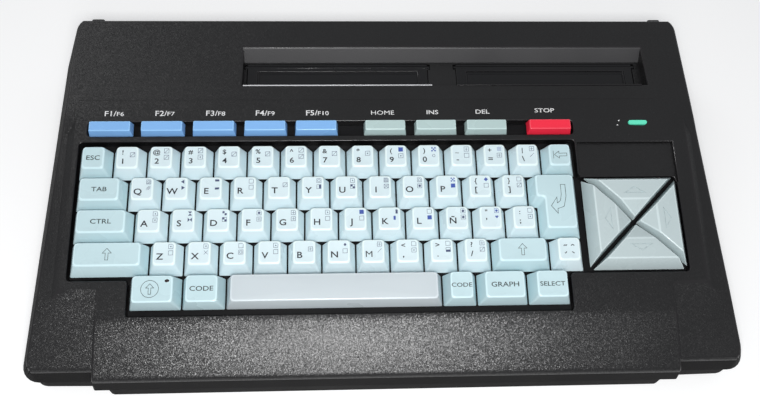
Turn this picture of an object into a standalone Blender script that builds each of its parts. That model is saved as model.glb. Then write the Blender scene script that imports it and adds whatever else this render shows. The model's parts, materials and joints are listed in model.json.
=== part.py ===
"""A vintage home computer: a wedge-shaped case with a full keyboard, function keys, a square cursor pad
and two cartridge slots with sprung doors. Metres, +Z up, +X to the user's right, the user sits at -Y.
The origin is the centre of the bounding box on the table."""
import math

import bmesh
import bpy
from mathutils import Matrix, Vector

# Whole case; its width and depth follow from the keyboard, the cursor pad and the cartridge recess
deck_height = 0.062
joint_line_height = 0.0222
wall = 0.0025
fit_gap = 0.0003
overrun = 0.002
weld_distance = 0.00001
foot_height = 0.003
rear_lug_reach = 0.0025
rear_lug_width = 0.008
rear_lug_height = 0.006
rear_lug_inset = 0.0268
side_draft = 0.016
rear_draft = 0.0015
case_edge_radius = 0.0035
case_corner_radius = 0.010
palm_corner_radius = 0.003
step_corner_radius = 0.0015
front_edge_radius = 0.0045

# Keyboard plane: x from the left end of the key block, y from the front row, z from the foot of the keycaps
keyboard_tilt = math.radians(6.5)
key_unit = 0.01905
block_units = 15
front_row_left_units = 1.75
front_row_right_units = 14.5
block_left_inset = 0.027
pad_right_inset = 0.0316
front_row_inset = 0.0455
surface_rise = 0.001
crease_gap = 0.0142

# Palm rest and wings
palm_rear = -0.0125
palm_front = -0.0455
palm_drop = 0.008
palm_side_inset = 0.042
palm_side_lean = 0.0003
wing_dip = 0.0025
wing_setback = 0.005
wing_front_drop = 0.0075
wing_ramp_front = 0.097
wing_ramp_rear = 0.105
wing_front_edge = -0.0395
wing_shoulder = -0.001
shoulder_step = 0.00006
surround_side_inset = 0.018
surround_facet = 0.0045

# Keyboard well and trough
well_margin = 0.0015
well_rear_gap = 0.005275
well_wall = 0.002
trough_gap = 0.0036
trough_depth = 0.0092
trough_left_gap = 0.0008
trough_right_gap = 0.00225
well_notch_gap = 0.001325
panel_dip = 0.002
panel_bar = 0.0015

# Keycaps
cap_gap = 0.0009
cap_row_gap = 0.0017
cap_height = 0.0087
cap_side_slope = 0.0031
cap_top_depth = 0.0130
cap_top_lean = 0.0020
cap_wall = 0.0012
front_cap_height = 0.0116
front_cap_top_depth = 0.0147
front_cap_top_lean = 0.0004
key_travel = 0.0038
stem_size = 0.005
stem_gap = 0.0003
web_width = 0.004
web_depth = 0.0009
web_drop = 0.0002
last_row = 5
key_middle_share = 0.5
return_lower_left_units = 13.75
return_upper_left_units = 13.5
step_drop = 0.00001

# Function keys
function_cap_depth = 0.0082
function_cap_height = 0.0050
function_cap_foot = -0.0010
function_side_slope = 0.0009
function_top_lean = 0.0003
function_top_share = 0.74
function_key_centres = (0.0161, 0.0459, 0.0757, 0.1055, 0.1353)
function_key_width = 0.0252
edit_key_centres = (0.1757, 0.2057, 0.2357)
edit_key_width = 0.0250
stop_key_centre = 0.2735
stop_key_width = 0.0262

# Cursor pad
pad_gap = 0.00345
pad_centre_rows = 2.021
pad_size = 0.0560
pad_groove = 0.0020
pad_height = 0.0095
pad_skirt = 0.0045
pad_crease_share = 0.50
pad_centre_height = 0.0050
pad_margin = 0.0012

# Key guide, contact sheet and keyboard board
guide_depth = 0.0055
guide_thickness = 0.005
guide_rim = 0.0025
guide_margin = 0.006
stem_overrun = 0.0015
contact_sheet_thickness = 0.001
board_thickness = 0.0016

# Cartridge recess, slots and doors
recess_front_gap = 0.010371
recess_rear_gap = 0.022
recess_left_gap = 0.00155
recess_right_gap = 0.00475
recess_depth = 0.008
recess_wall_run = 0.006
slot_width = 0.1115
slot_length = 0.0190
slot_front_margin = 0.0018
slot_rear_margin = 0.0012
slot_bridge = 0.0172
slots_right_inset = 0.04525
chute_wall = 0.002
chute_depth = 0.020
door_thickness = 0.002
door_play = 0.0004
door_pin_radius = 0.0015
door_pin_reach = 0.0015
door_pin_inset = 0.0022
door_panel_margin = 0.006
door_panel_depth = 0.0006
door_panel_front = 0.0015
door_panel_rear = 0.0050
pin_sides = 10

# Lower case and its fittings
lower_inset = 0.0022
floor_thickness = 0.0025
boss_radius = 0.004
boss_sides = 8
boss_height = 0.005
foot_radius = 0.0075
foot_sides = 20
foot_inset_x = 0.035
foot_seat_depth = 0.001
vent_count = 12
vent_width = 0.003
vent_pitch = 0.008
vent_length = 0.040
vent_side_inset = 0.0725
vent_front_inset = 0.135
lower_front_inset = 0.0025
wing_sweep = 0.0006
lower_corner_radius = 0.007
lower_corner_steps = 4
foot_front_inset = 0.030
foot_rear_inset = 0.022
foot_taper = 0.0008
boss_inset = 0.010

# Main board and what stands on it
board_depth = 0.092
board_rear_gap = 0.010
board_side_gap = 0.0125

# Rear sockets: centre from the case's side or from the board's middle, width, height, depth
socket_sill = 0.0127
socket_face_inset = 0.001
mains_inlet_size = (0.0425, 0.022, 0.018, 0.018)
switch_frame_size = (0.0775, 0.020, 0.014, 0.012)
modulator_size = (-0.092, 0.046, 0.020, 0.030)
video_socket_size = (-0.048, 0.018, 0.018, 0.014)
cassette_socket_size = (-0.020, 0.018, 0.018, 0.014)
printer_port_size = (0.028, 0.052, 0.014, 0.014)
joystick_port_sizes = ((0.082, 0.032, 0.013, 0.012), (0.120, 0.032, 0.013, 0.012))
round_hole_radius = 0.0068
round_hole_sides = 16
round_hole_depth = 0.009
port_lip = 0.003
port_hole_depth = 0.007
coax_radius = 0.0048
inlet_lip = 0.003
inlet_hole_depth = 0.012
inlet_pin_size = 0.0022
inlet_pin_length = 0.0065
inlet_pin_pitch = 0.0086
rocker_size = (0.015, 0.009)
rocker_thickness = 0.0055
rocker_crown = 0.0016
rocker_play = 0.0013

# Inside
transformer_side_inset = 0.0165
transformer_rear_inset = 0.0605
transformer_board_gap = 0.022
transformer_size = (0.054, 0.040, 0.036)
transformer_core_share = 0.5
transformer_core_rim = 0.004
heat_sink_place = (0.006, 0.006)
heat_sink_size = (0.026, 0.030, 0.020)
heat_sink_fins = 5
heat_sink_fin = 0.002
heat_sink_base = 0.004
connector_end_gap = 0.00775
connector_depth = 0.012
connector_height = 0.014
connector_slit_margin = 0.004
connector_slit_depth = 0.0022
connector_slit_reach = 0.009
chip_height = 0.004
processor_place = (0.115, 0.0195)
processor_size = (0.052, 0.015)
video_chip_place = (0.195, 0.0215)
video_chip_size = (0.058, 0.019)
memory_chip_place = (0.260, 0.0195)
memory_chip_size = (0.036, 0.015)

# Lamps
power_lamp_inset = (0.0189, 0.0018)
power_lamp_size = (0.0112, 0.0026)
power_lamp_proud = 0.0006
power_lamp_depth = 0.004
lamp_arc_steps = 6

# Round corners of outlines
corner_steps = 6
well_corner = 0.002
edge_segments = 3
edge_angle = math.radians(35)
well_corner_steps = 2
lamp_round_share = 0.98

tilt_cos = math.cos(keyboard_tilt)
tilt_sin = math.sin(keyboard_tilt)
row_depth = key_unit
front_row_edge = row_depth / 2
key_block_rear = last_row * row_depth - front_row_edge
well_rear = key_block_rear + well_rear_gap
well_lower_left = front_row_edge - well_notch_gap
trough_front = well_rear + trough_gap
trough_rear = trough_front + trough_depth
crease_reach = trough_rear + crease_gap
trough_left = function_key_centres[0] - function_key_width / 2 - trough_left_gap
trough_right = block_units * key_unit + trough_right_gap
pad_centre_x = block_units * key_unit + pad_gap + pad_size / 2
pad_centre_y = pad_centre_rows * row_depth
pad_high_x = pad_centre_x + pad_size / 2 + pad_margin
pad_low_y = pad_centre_y - pad_size / 2 - pad_margin
pad_high_y = pad_centre_y + pad_size / 2 + pad_margin
case_width = block_left_inset + pad_high_x + pad_right_inset
palm_width = case_width - palm_side_inset - palm_side_inset
surround_width = case_width - surround_side_inset - surround_side_inset
recess_length = slot_front_margin + slot_length + slot_rear_margin + recess_wall_run
crease_run = crease_reach * tilt_cos - surface_rise * tilt_sin
case_depth = front_row_inset + crease_run + recess_front_gap + recess_length + recess_rear_gap
front_y = -(case_depth + rear_lug_reach) / 2
rear_y = front_y + case_depth
front_row_y = front_y + front_row_inset
key_plane_height = deck_height - surface_rise * tilt_cos - crease_reach * tilt_sin
block_left = -case_width / 2 + block_left_inset
keyboard_frame = Matrix.Translation((block_left, front_row_y, key_plane_height)) @ Matrix.Rotation(
    keyboard_tilt, 4, "X"
)
sideways = Matrix(((0, 0, 1, 0), (1, 0, 0, 0), (0, 1, 0, 0), (0, 0, 0, 1)))
guide_top = -guide_depth
guide_bottom = guide_top - guide_thickness
stem_foot = guide_bottom - stem_overrun
sheet_top = stem_foot - key_travel - fit_gap
sheet_bottom = sheet_top - contact_sheet_thickness
keyboard_board_top = sheet_bottom - fit_gap
floor_top = foot_height + floor_thickness
main_board_bottom = floor_top + boss_height + fit_gap
main_board_top = main_board_bottom + board_thickness
recess_floor = deck_height - recess_depth
board_low_y = rear_y - board_rear_gap - board_depth
recess_rear = rear_y - recess_rear_gap
recess_front = recess_rear - recess_length
right_slot_centre = case_width / 2 - slots_right_inset - slot_width / 2
slot_centres = (right_slot_centre - slot_width - slot_bridge, right_slot_centre)
recess_left = slot_centres[0] - slot_width / 2 - recess_left_gap
recess_right = slot_centres[1] + slot_width / 2 + recess_right_gap
board_low_x = transformer_side_inset + transformer_size[0] + transformer_board_gap - case_width / 2
board_width = case_width / 2 - board_side_gap - board_low_x
board_middle_x = board_low_x + board_width / 2


def make_collections():
    """Clear the scene, then make a collection for the parts and one for the cutters."""
    for thing in list(bpy.data.objects):
        bpy.data.objects.remove(thing, do_unlink=True)
    made = []
    for name in ("home_computer", "cutters"):
        group = bpy.data.collections.new(name)
        bpy.context.scene.collection.children.link(group)
        made.append(group)
    return made


parts, cutters = make_collections()


def paint(name, colour, roughness, metallic=0.0):
    """A Principled material."""
    made = bpy.data.materials.new(name)
    made.use_nodes = True
    shader = made.node_tree.nodes["Principled BSDF"]
    shader.inputs["Base Color"].default_value = (*colour, 1.0)
    shader.inputs["Roughness"].default_value = roughness
    shader.inputs["Metallic"].default_value = metallic
    return made


case_plastic = paint("case_plastic", (0.022, 0.021, 0.024), 0.55)
inner_plastic = paint("inner_plastic", (0.015, 0.015, 0.016), 0.6)
door_plastic = paint("door_plastic", (0.012, 0.012, 0.013), 0.25)
letter_plastic = paint("letter_plastic", (0.72, 0.77, 0.83), 0.45)
modifier_plastic = paint("modifier_plastic", (0.55, 0.66, 0.68), 0.45)
blue_plastic = paint("blue_plastic", (0.13, 0.36, 0.70), 0.4)
grey_green_plastic = paint("grey_green_plastic", (0.42, 0.52, 0.48), 0.45)
red_plastic = paint("red_plastic", (0.65, 0.03, 0.06), 0.4)
green_lens = paint("green_lens", (0.10, 0.60, 0.42), 0.2)
green_board = paint("green_board", (0.03, 0.16, 0.07), 0.5)
chip_black = paint("chip_black", (0.02, 0.02, 0.02), 0.5)
bare_steel = paint("bare_steel", (0.60, 0.60, 0.60), 0.35, 1.0)
sink_aluminium = paint("sink_aluminium", (0.70, 0.70, 0.72), 0.4, 1.0)
foot_rubber = paint("foot_rubber", (0.02, 0.02, 0.02), 0.9)
sheet_rubber = paint("sheet_rubber", (0.35, 0.35, 0.36), 0.8)


def add_object(name, mesh, finish=None, frame=None):
    """Link a mesh as a part, or as a hidden cutter when it has no finish."""
    made = bpy.data.objects.new(name, mesh)
    if finish:
        parts.objects.link(made)
        mesh.materials.clear()
        mesh.materials.append(finish)
    else:
        cutters.objects.link(made)
        made.hide_render = True
        made.display_type = "WIRE"
    if frame is not None:
        made.matrix_world = frame
    return made


def mesh_from(name, shape):
    """Turn a bmesh into a mesh with its faces pointing out."""
    bmesh.ops.recalc_face_normals(shape, faces=shape.faces)
    mesh = bpy.data.meshes.new(name)
    shape.to_mesh(mesh)
    shape.free()
    return mesh


def add_box_shape(shape, low, high):
    """Add a box between two corners to a bmesh."""
    middle = [(a + b) / 2 for a, b in zip(low, high)]
    size = [b - a for a, b in zip(low, high)]
    place = Matrix.Translation(middle) @ Matrix.Diagonal((*size, 1))
    return bmesh.ops.create_cube(shape, size=1, matrix=place)["verts"]


def box(name, low, high, finish=None, frame=None):
    """A box between two corners."""
    return boxes(name, [(low, high)], finish, frame)


def boxes(name, corners, finish=None, frame=None):
    """Boxes that don't meet, in one object."""
    shape = bmesh.new()
    for low, high in corners:
        add_box_shape(shape, low, high)
    return add_object(name, mesh_from(name, shape), finish, frame)


def hull(name, points, finish=None, frame=None):
    """The convex solid around some points."""
    shape = bmesh.new()
    for point in points:
        shape.verts.new(point)
    bmesh.ops.convex_hull(shape, input=shape.verts)
    return add_object(name, mesh_from(name, shape), finish, frame)


def cylinder(name, radius, low, high, sides, finish=None, frame=None):
    """A round bar from one point to another, both on a line along X, Y or Z."""
    shape = bmesh.new()
    start = Vector(low)
    run = Vector(high) - start
    turn = run.to_track_quat("Z", "Y").to_matrix().to_4x4()
    place = Matrix.Translation(start + run / 2) @ turn
    bmesh.ops.create_cone(
        shape, cap_ends=True, segments=sides, radius1=radius, radius2=radius, depth=run.length, matrix=place
    )
    return add_object(name, mesh_from(name, shape), finish, frame)


def extruded(name, outline, low, high, finish=None, frame=None):
    """A flat outline in X and Y, extruded in Z from low to high."""
    curve = bpy.data.curves.new(name, "CURVE")
    curve.dimensions = "2D"
    curve.fill_mode = "BOTH"
    curve.extrude = (high - low) / 2
    spline = curve.splines.new("POLY")
    spline.points.add(len(outline) - 1)
    for point, (x, y) in zip(spline.points, outline):
        point.co = (x, y, 0, 1)
    spline.use_cyclic_u = True
    flat = bpy.data.objects.new(name + "_outline", curve)
    cutters.objects.link(flat)
    bpy.context.view_layer.update()
    drawn = flat.evaluated_get(bpy.context.evaluated_depsgraph_get())
    mesh = bpy.data.meshes.new_from_object(drawn)
    bpy.data.objects.remove(flat, do_unlink=True)
    shape = bmesh.new()
    shape.from_mesh(mesh)
    bpy.data.meshes.remove(mesh)
    bmesh.ops.remove_doubles(shape, verts=shape.verts, dist=weld_distance)
    bmesh.ops.translate(shape, verts=shape.verts, vec=(0, 0, (low + high) / 2))
    return add_object(name, mesh_from(name, shape), finish, frame)


def boolean(target, operation, tool):
    """Cut, join or trim one object with another."""
    step = target.modifiers.new(tool.name, "BOOLEAN")
    step.operation = operation
    step.solver = "EXACT"
    step.object = tool
    return target


def cut(target, *tools):
    for tool in tools:
        boolean(target, "DIFFERENCE", tool)
    return target


def join(target, *tools):
    for tool in tools:
        boolean(target, "UNION", tool)
    return target


def settle(target):
    """Give an object the mesh that its modifiers make, and drop the modifiers."""
    bpy.context.view_layer.update()
    drawn = target.evaluated_get(bpy.context.evaluated_depsgraph_get())
    mesh = bpy.data.meshes.new_from_object(drawn)
    shape = bmesh.new()
    shape.from_mesh(mesh)
    bmesh.ops.remove_doubles(shape, verts=shape.verts, dist=weld_distance)
    bmesh.ops.dissolve_degenerate(shape, edges=shape.edges, dist=weld_distance)
    shape.to_mesh(mesh)
    shape.free()
    target.modifiers.clear()
    target.data = mesh
    return target


def rounded(points, radii, steps=corner_steps):
    """An outline with its corners made arcs, of one radius or a list of them; a radius of 0 stays sharp."""
    made = []
    count = len(points)
    if not isinstance(radii, list):
        radii = [radii] * count
    for i, (corner, radius) in enumerate(zip(points, radii)):
        here = Vector(corner)
        if not radius:
            made.append(corner)
            continue
        before = (Vector(points[i - 1]) - here).normalized()
        after = (Vector(points[(i + 1) % count]) - here).normalized()
        half = before.angle(after) / 2
        middle = here + (before + after).normalized() * (radius / math.sin(half))
        start = here + before * (radius / math.tan(half)) - middle
        end = here + after * (radius / math.tan(half)) - middle
        turn = start.angle_signed(end)
        for step in range(steps + 1):
            spoke = start.copy()
            spoke.rotate(Matrix.Rotation(-turn * step / steps, 2))
            made.append(tuple(middle + spoke))
    return made


def inset(points, distance):
    """An outline that runs inside another, given anticlockwise, at one distance."""
    made = []
    count = len(points)
    for i in range(count):
        here = Vector(points[i])
        before = (here - Vector(points[i - 1])).normalized()
        after = (Vector(points[(i + 1) % count]) - here).normalized()
        normal_before = Vector((-before.y, before.x))
        normal_after = Vector((-after.y, after.x))
        lean = (normal_before + normal_after) / (1 + normal_before.dot(normal_after))
        made.append(tuple(here + lean * distance))
    return made


def rectangle(low_x, low_y, high_x, high_y):
    return [(low_x, low_y), (high_x, low_y), (high_x, high_y), (low_x, high_y)]


def on_side(y, z):
    """World y and z of a point given in the keyboard plane's y and z."""
    point = keyboard_frame @ Vector((0, y, z))
    return point.y, point.z


def lean_sides(plan):
    """Give an upright plan the lean of the case's side walls."""
    lean = side_draft / (deck_height - joint_line_height)
    for vertex in plan.data.vertices:
        vertex.co.x -= math.copysign(lean, vertex.co.x) * (vertex.co.z - joint_line_height)


def case_blank(name, shrink):
    """The outside of the upper case, or with shrink its inside: a side outline trimmed by a drafted plan."""
    low = joint_line_height - case_edge_radius - overrun
    slope = (joint_line_height - low) / (deck_height - joint_line_height)
    side = [
        (front_y, low),
        (rear_y + rear_draft * slope, low),
        (rear_y - rear_draft, deck_height),
        on_side(crease_reach, surface_rise),
        on_side(palm_rear, surface_rise),
        on_side(palm_front, -palm_drop),
        (front_y, joint_line_height),
    ]
    side = rounded(side, [0, 0, 0, 0, 0, front_edge_radius, 0])
    if shrink:
        side = inset(side, shrink)
        side[0] = (side[0][0], low - overrun)
        side[1] = (side[1][0], low - overrun)
    blank = extruded(name, side, -case_width, case_width, frame=sideways)
    plan_low = low - overrun - overrun
    plan_high = deck_height + overrun
    plan_corners = rectangle(
        -case_width / 2 + shrink,
        front_y - case_edge_radius + shrink,
        case_width / 2 - shrink,
        rear_y + rear_draft - shrink,
    )
    plan = extruded(name + "_plan", rounded(plan_corners, case_corner_radius), plan_low, plan_high)
    lean_sides(plan)
    boolean(blank, "INTERSECT", plan)
    if not shrink:
        edge = blank.modifiers.new("rounded_edges", "BEVEL")
        edge.width = case_edge_radius
        edge.segments = edge_segments
        edge.limit_method = "ANGLE"
        edge.angle_limit = edge_angle
    return settle(blank)


def lean_inner_end(piece, lean, shrink):
    """Slope the inner end of a wing cutter outwards, the lower the further, from the wing's floor up."""
    outer = max(vertex.co.z for vertex in piece.data.vertices)
    for vertex in piece.data.vertices:
        floor = key_plane_height + (vertex.co.x - front_row_y) * tilt_sin / tilt_cos + surface_rise - wing_dip
        if vertex.co.z < outer:
            vertex.co.z -= lean * (vertex.co.y - floor + shrink)


def corner_cutter(name, shrink):
    """What rounds the right wing's front corner, seen from above."""
    side = case_width / 2 - shrink
    front = front_y + wing_setback + shrink
    radius = case_corner_radius - shrink
    outer = side + case_corner_radius
    outline = [(side - radius, front - case_corner_radius), (outer, front - case_corner_radius),
               (outer, front + radius)]
    for step in range(corner_steps + 1):
        turn = math.pi / 2 * step / corner_steps
        outline.append((side - radius + radius * math.cos(turn), front + radius - radius * math.sin(turn)))
    corner = extruded(name, outline, joint_line_height - case_corner_radius, deck_height)
    lean_sides(corner)
    return corner


def wing_cutter(name, shrink):
    """The space over the right wing, beside the surround and the palm rest; shrink moves it into the wall."""
    floor = surface_rise - wing_dip - shrink
    top = surface_rise + case_edge_radius
    low = joint_line_height - case_edge_radius - overrun - overrun
    front = front_y + wing_setback + shrink
    facet_slope = surround_facet / wing_dip
    ramp_run = (wing_ramp_rear - wing_ramp_front) / wing_dip
    shoulder = wing_shoulder + shrink
    beside = [
        on_side(shoulder - overrun, floor - shoulder_step),
        on_side(shoulder - overrun, top),
        on_side(wing_ramp_front + shrink + (top - floor) * ramp_run, top),
        on_side(wing_ramp_front + shrink, floor - shoulder_step),
    ]
    before = [
        (front_y - case_edge_radius, low),
        (front, low),
        (front, joint_line_height),
        on_side(wing_front_edge + shrink, -wing_front_drop - shrink),
        on_side(shoulder, floor),
        on_side(shoulder + (top - floor) * facet_slope, top),
        (front_y - case_edge_radius, on_side(shoulder, top)[1]),
    ]
    before = rounded(before, [0, 0, 0, front_edge_radius - shrink, 0, 0, 0])
    outer = case_width / 2 + overrun
    right = extruded(name + "_right", beside, surround_width / 2 - shrink, outer, frame=sideways)
    lean_inner_end(right, facet_slope, shrink)
    fore = extruded(name + "_fore", before, palm_width / 2 - shrink, outer + overrun, frame=sideways)
    lean_inner_end(fore, palm_side_lean / wing_dip, shrink)
    return right, fore


def well_outline(grow):
    """The keyboard well, with its notch at the front left and the cursor pad's bay at the right."""
    row_five_left = front_row_left_units * key_unit - well_margin
    row_five_right = front_row_right_units * key_unit + well_margin
    corners = [
        (row_five_left, palm_rear),
        (row_five_right, palm_rear),
        (row_five_right, pad_low_y),
        (pad_high_x, pad_low_y),
        (pad_high_x, pad_high_y),
        (trough_right, pad_high_y),
        (trough_right, well_rear),
        (-well_margin, well_rear),
        (-well_margin, well_lower_left),
        (row_five_left, well_lower_left),
    ]
    return inset(rounded(corners, well_corner, well_corner_steps), -grow)


def mirror_sideways(piece):
    """Make the left half of a piece the mirror image of its right half."""
    step = piece.modifiers.new("both_sides", "MIRROR")
    step.use_axis = (False, False, True)
    step.use_bisect_axis = (False, False, True)
    step.merge_threshold = weld_distance
    return settle(piece)


def make_upper_case():
    """The upper case, with its surround, palm rest, well, trough, recess, chutes and rear lugs."""
    case = case_blank("upper_case", 0)
    inside = case_blank("case_inside", wall)
    mirror_sideways(cut(case, *wing_cutter("wing", 0), corner_cutter("front_corner", 0)))
    mirror_sideways(cut(inside, *wing_cutter("wing_inside", wall), corner_cutter("inner_corner", wall)))
    far = case_width
    cut(case, inside, box("below_joint", (-far, -far, -far), (far, far, joint_line_height)))

    collar_top = surface_rise - wall / 2
    collar_foot = guide_top + fit_gap
    well_collar = extruded(
        "well_collar", well_outline(well_wall), collar_foot, collar_top, frame=keyboard_frame
    )
    trough_low = (trough_left, trough_front)
    trough_high = (trough_right, trough_rear)
    trough = rounded(rectangle(*trough_low, *trough_high), well_corner, well_corner_steps)
    trough_collar = extruded(
        "trough_collar", inset(trough, -well_wall), collar_foot + fit_gap, collar_top, frame=keyboard_frame
    )
    panel_right = pad_high_x + panel_bar / 2
    panel_back = box(
        "panel_back",
        (trough_right + well_wall / 2, pad_high_y + well_wall / 2, surface_rise - panel_dip - wall),
        (panel_right + well_wall, well_rear + well_wall / 2, collar_top),
        frame=keyboard_frame,
    )
    join(case, well_collar, trough_collar, panel_back)

    recess_side = [
        (recess_front, deck_height),
        (recess_front, recess_floor),
        (recess_rear - recess_wall_run, recess_floor),
        (recess_rear, deck_height),
    ]
    liner_side = inset(recess_side, -wall)
    liner_side[0] = (liner_side[0][0], deck_height - wall / 2)
    liner_side[3] = (liner_side[3][0], deck_height - wall / 2)
    liner = extruded(
        "recess_liner", liner_side, recess_left - wall, recess_right + wall, frame=sideways
    )
    join(case, liner)
    slots = []
    for number, middle in enumerate(slot_centres, 1):
        low = (middle - slot_width / 2, recess_front + slot_front_margin)
        high = (middle + slot_width / 2, low[1] + slot_length)
        foot = recess_floor - chute_depth
        join(case, box(
            f"chute_{number}",
            (low[0] - chute_wall, low[1] - chute_wall, foot),
            (high[0] + chute_wall, high[1] + chute_wall, recess_floor - wall / 2),
        ))
        slots.append(((*low, foot - overrun), (*high, recess_floor + overrun)))
    lugs = []
    for side in (-1, 1):
        middle = side * (case_width / 2 - rear_lug_inset)
        lug_top = deck_height - case_edge_radius
        lugs.append((
            (middle - rear_lug_width / 2, rear_y - wall, lug_top - rear_lug_height),
            (middle + rear_lug_width / 2, rear_y + rear_lug_reach, lug_top),
        ))
    join(case, boxes("rear_lugs", lugs))

    clear = surface_rise + overrun
    recess_side[0] = (recess_front, deck_height + overrun)
    recess_side[3] = (recess_rear + overrun * recess_wall_run / recess_depth, deck_height + overrun)
    cut(
        case,
        extruded("well", well_outline(0), collar_foot - overrun, clear, frame=keyboard_frame),
        extruded("trough", trough, collar_foot - overrun, clear, frame=keyboard_frame),
        box(
            "panel",
            (trough_right + panel_bar, pad_high_y - well_corner - overrun, surface_rise - panel_dip),
            (panel_right, well_rear - panel_bar, surface_rise + overrun),
            frame=keyboard_frame,
        ),
        extruded("recess", recess_side, recess_left, recess_right, frame=sideways),
        boxes("slots", slots),
        boxes("door_notches", door_notches()),
        boxes("upper_socket_notches", socket_notches()),
        extruded(
            "power_lamp_hole",
            lamp_outline(fit_gap),
            surface_rise - wall - overrun,
            surface_rise + overrun,
            frame=keyboard_frame,
        ),
    )
    finish_part(case, case_plastic)


def finish_part(piece, finish):
    """Move a settled piece from the cutters to the parts, with its material."""
    settle(piece)
    cutters.objects.unlink(piece)
    parts.objects.link(piece)
    piece.hide_render = False
    piece.display_type = "TEXTURED"
    piece.data.materials.clear()
    piece.data.materials.append(finish)


def lamp_outline(grow):
    """The power lamp's outline, a bar with round ends."""
    x = pad_high_x - power_lamp_inset[0]
    y = trough_rear - power_lamp_inset[1]
    width, depth = power_lamp_size
    half_width = width / 2 + grow
    half_depth = depth / 2 + grow
    corners = rectangle(x - half_width, y - half_depth, x + half_width, y + half_depth)
    return rounded(corners, half_depth * lamp_round_share, lamp_arc_steps)


def door_notches():
    """Room in the chute walls for the doors' pins, beside the rear edge of each slot."""
    made = []
    reach = door_pin_radius + door_play
    for middle in slot_centres:
        pin_y, pin_z = door_pin_place()
        for side in (-1, 1):
            inner = middle + side * (slot_width / 2 - overrun)
            outer = middle + side * (slot_width / 2 + door_pin_reach)
            low, high = sorted((inner, outer))
            made.append(((low, pin_y - reach, pin_z - reach), (high, pin_y + reach, pin_z + reach)))
    return made


def door_pin_place():
    """World y and z of the doors' hinge line."""
    return (
        recess_front + slot_front_margin + slot_length - door_pin_inset,
        recess_floor - door_thickness / 2,
    )


def socket_places():
    """Each rear socket's middle, width, height and depth: two from the case's side, the rest on the board."""
    beside = (mains_inlet_size, switch_frame_size)
    on_board = (
        modulator_size, video_socket_size, cassette_socket_size, printer_port_size, *joystick_port_sizes
    )
    made = [(place[0] - case_width / 2, *place[1:]) for place in beside]
    return made + [(place[0] + board_middle_x, *place[1:]) for place in on_board]


def socket_notches():
    """The openings in the rear wall of both shells, one for each socket."""
    made = []
    for middle, width, height, depth in socket_places():
        made.append((
            (middle - width / 2 - fit_gap, rear_y - case_edge_radius - overrun - wall, socket_sill - fit_gap),
            (middle + width / 2 + fit_gap, rear_y + overrun, socket_sill + height + fit_gap),
        ))
    return made


def lower_outline(shrink):
    """The lower case in plan: a rounded box that steps forward under the palm rest."""
    side = case_width / 2 - lower_inset - shrink
    back = rear_y - lower_inset - shrink
    palm = palm_width / 2 - lower_inset - shrink
    palm_y = front_y + lower_front_inset + shrink
    wing_y = palm_y + wing_setback
    corners = [
        (-side, wing_y + wing_sweep),
        (-palm, wing_y),
        (-palm, palm_y),
        (palm, palm_y),
        (palm, wing_y),
        (side, wing_y + wing_sweep),
        (side, back),
        (-side, back),
    ]
    front = (lower_corner_radius, step_corner_radius, palm_corner_radius)
    radii = [*front, *reversed(front), lower_corner_radius, lower_corner_radius]
    return rounded(corners, radii, lower_corner_steps)


def make_lower_case():
    """The lower case: a tray with board bosses, cooling slots, foot seats and the sockets' notches."""
    case = extruded("lower_case", lower_outline(0), foot_height, joint_line_height - fit_gap)
    hollow = extruded("lower_hollow", lower_outline(wall), floor_top, joint_line_height + overrun)
    cut(case, hollow)
    bosses = bmesh.new()
    sink = overrun / 2
    for x, y in boss_places():
        place = Matrix.Translation((x, y, floor_top + (boss_height - sink) / 2))
        bmesh.ops.create_cone(
            bosses,
            cap_ends=True,
            segments=boss_sides,
            radius1=boss_radius,
            radius2=boss_radius,
            depth=boss_height + sink,
            matrix=place,
        )
    join(case, add_object("board_bosses", mesh_from("board_bosses", bosses)))
    vents = []
    for number in range(vent_count):
        x = vent_side_inset - case_width / 2 + (number - (vent_count - 1) / 2) * vent_pitch
        y = front_y + vent_front_inset
        vents.append((
            (x - vent_width / 2, y - vent_length / 2, 0),
            (x + vent_width / 2, y + vent_length / 2, floor_top + overrun),
        ))
    cut(case, boxes("vents", vents), boxes("lower_socket_notches", socket_notches()))
    seats = bmesh.new()
    for x, y in foot_places():
        place = Matrix.Translation((x, y, foot_height))
        bmesh.ops.create_cone(
            seats,
            cap_ends=True,
            segments=foot_sides,
            radius1=foot_radius + fit_gap,
            radius2=foot_radius + fit_gap,
            depth=foot_seat_depth + foot_seat_depth,
            matrix=place,
        )
    cut(case, add_object("foot_seats", mesh_from("foot_seats", seats)))
    finish_part(case, case_plastic)


def foot_places():
    """Where the four feet are, left to right and front to rear."""
    x = case_width / 2 - foot_inset_x
    return [(-x, front_y + foot_front_inset), (x, front_y + foot_front_inset),
            (-x, rear_y - foot_rear_inset), (x, rear_y - foot_rear_inset)]


def make_feet():
    """Four rubber feet in their seats."""
    names = ("front_left_foot", "front_right_foot", "rear_left_foot", "rear_right_foot")
    for name, (x, y) in zip(names, foot_places()):
        top = foot_height + foot_seat_depth - fit_gap
        shape = bmesh.new()
        place = Matrix.Translation((x, y, top / 2))
        bmesh.ops.create_cone(
            shape,
            cap_ends=True,
            segments=foot_sides,
            radius1=foot_radius - foot_taper,
            radius2=foot_radius,
            depth=top,
            matrix=place,
        )
        add_object(name, mesh_from(name, shape), foot_rubber)


def boss_places():
    """Six bosses under the main board."""
    xs = (board_low_x + boss_inset, board_middle_x, board_low_x + board_width - boss_inset)
    ys = (board_low_y + boss_inset, board_low_y + board_depth - boss_inset)
    return [(x, y) for x in xs for y in ys]


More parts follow.
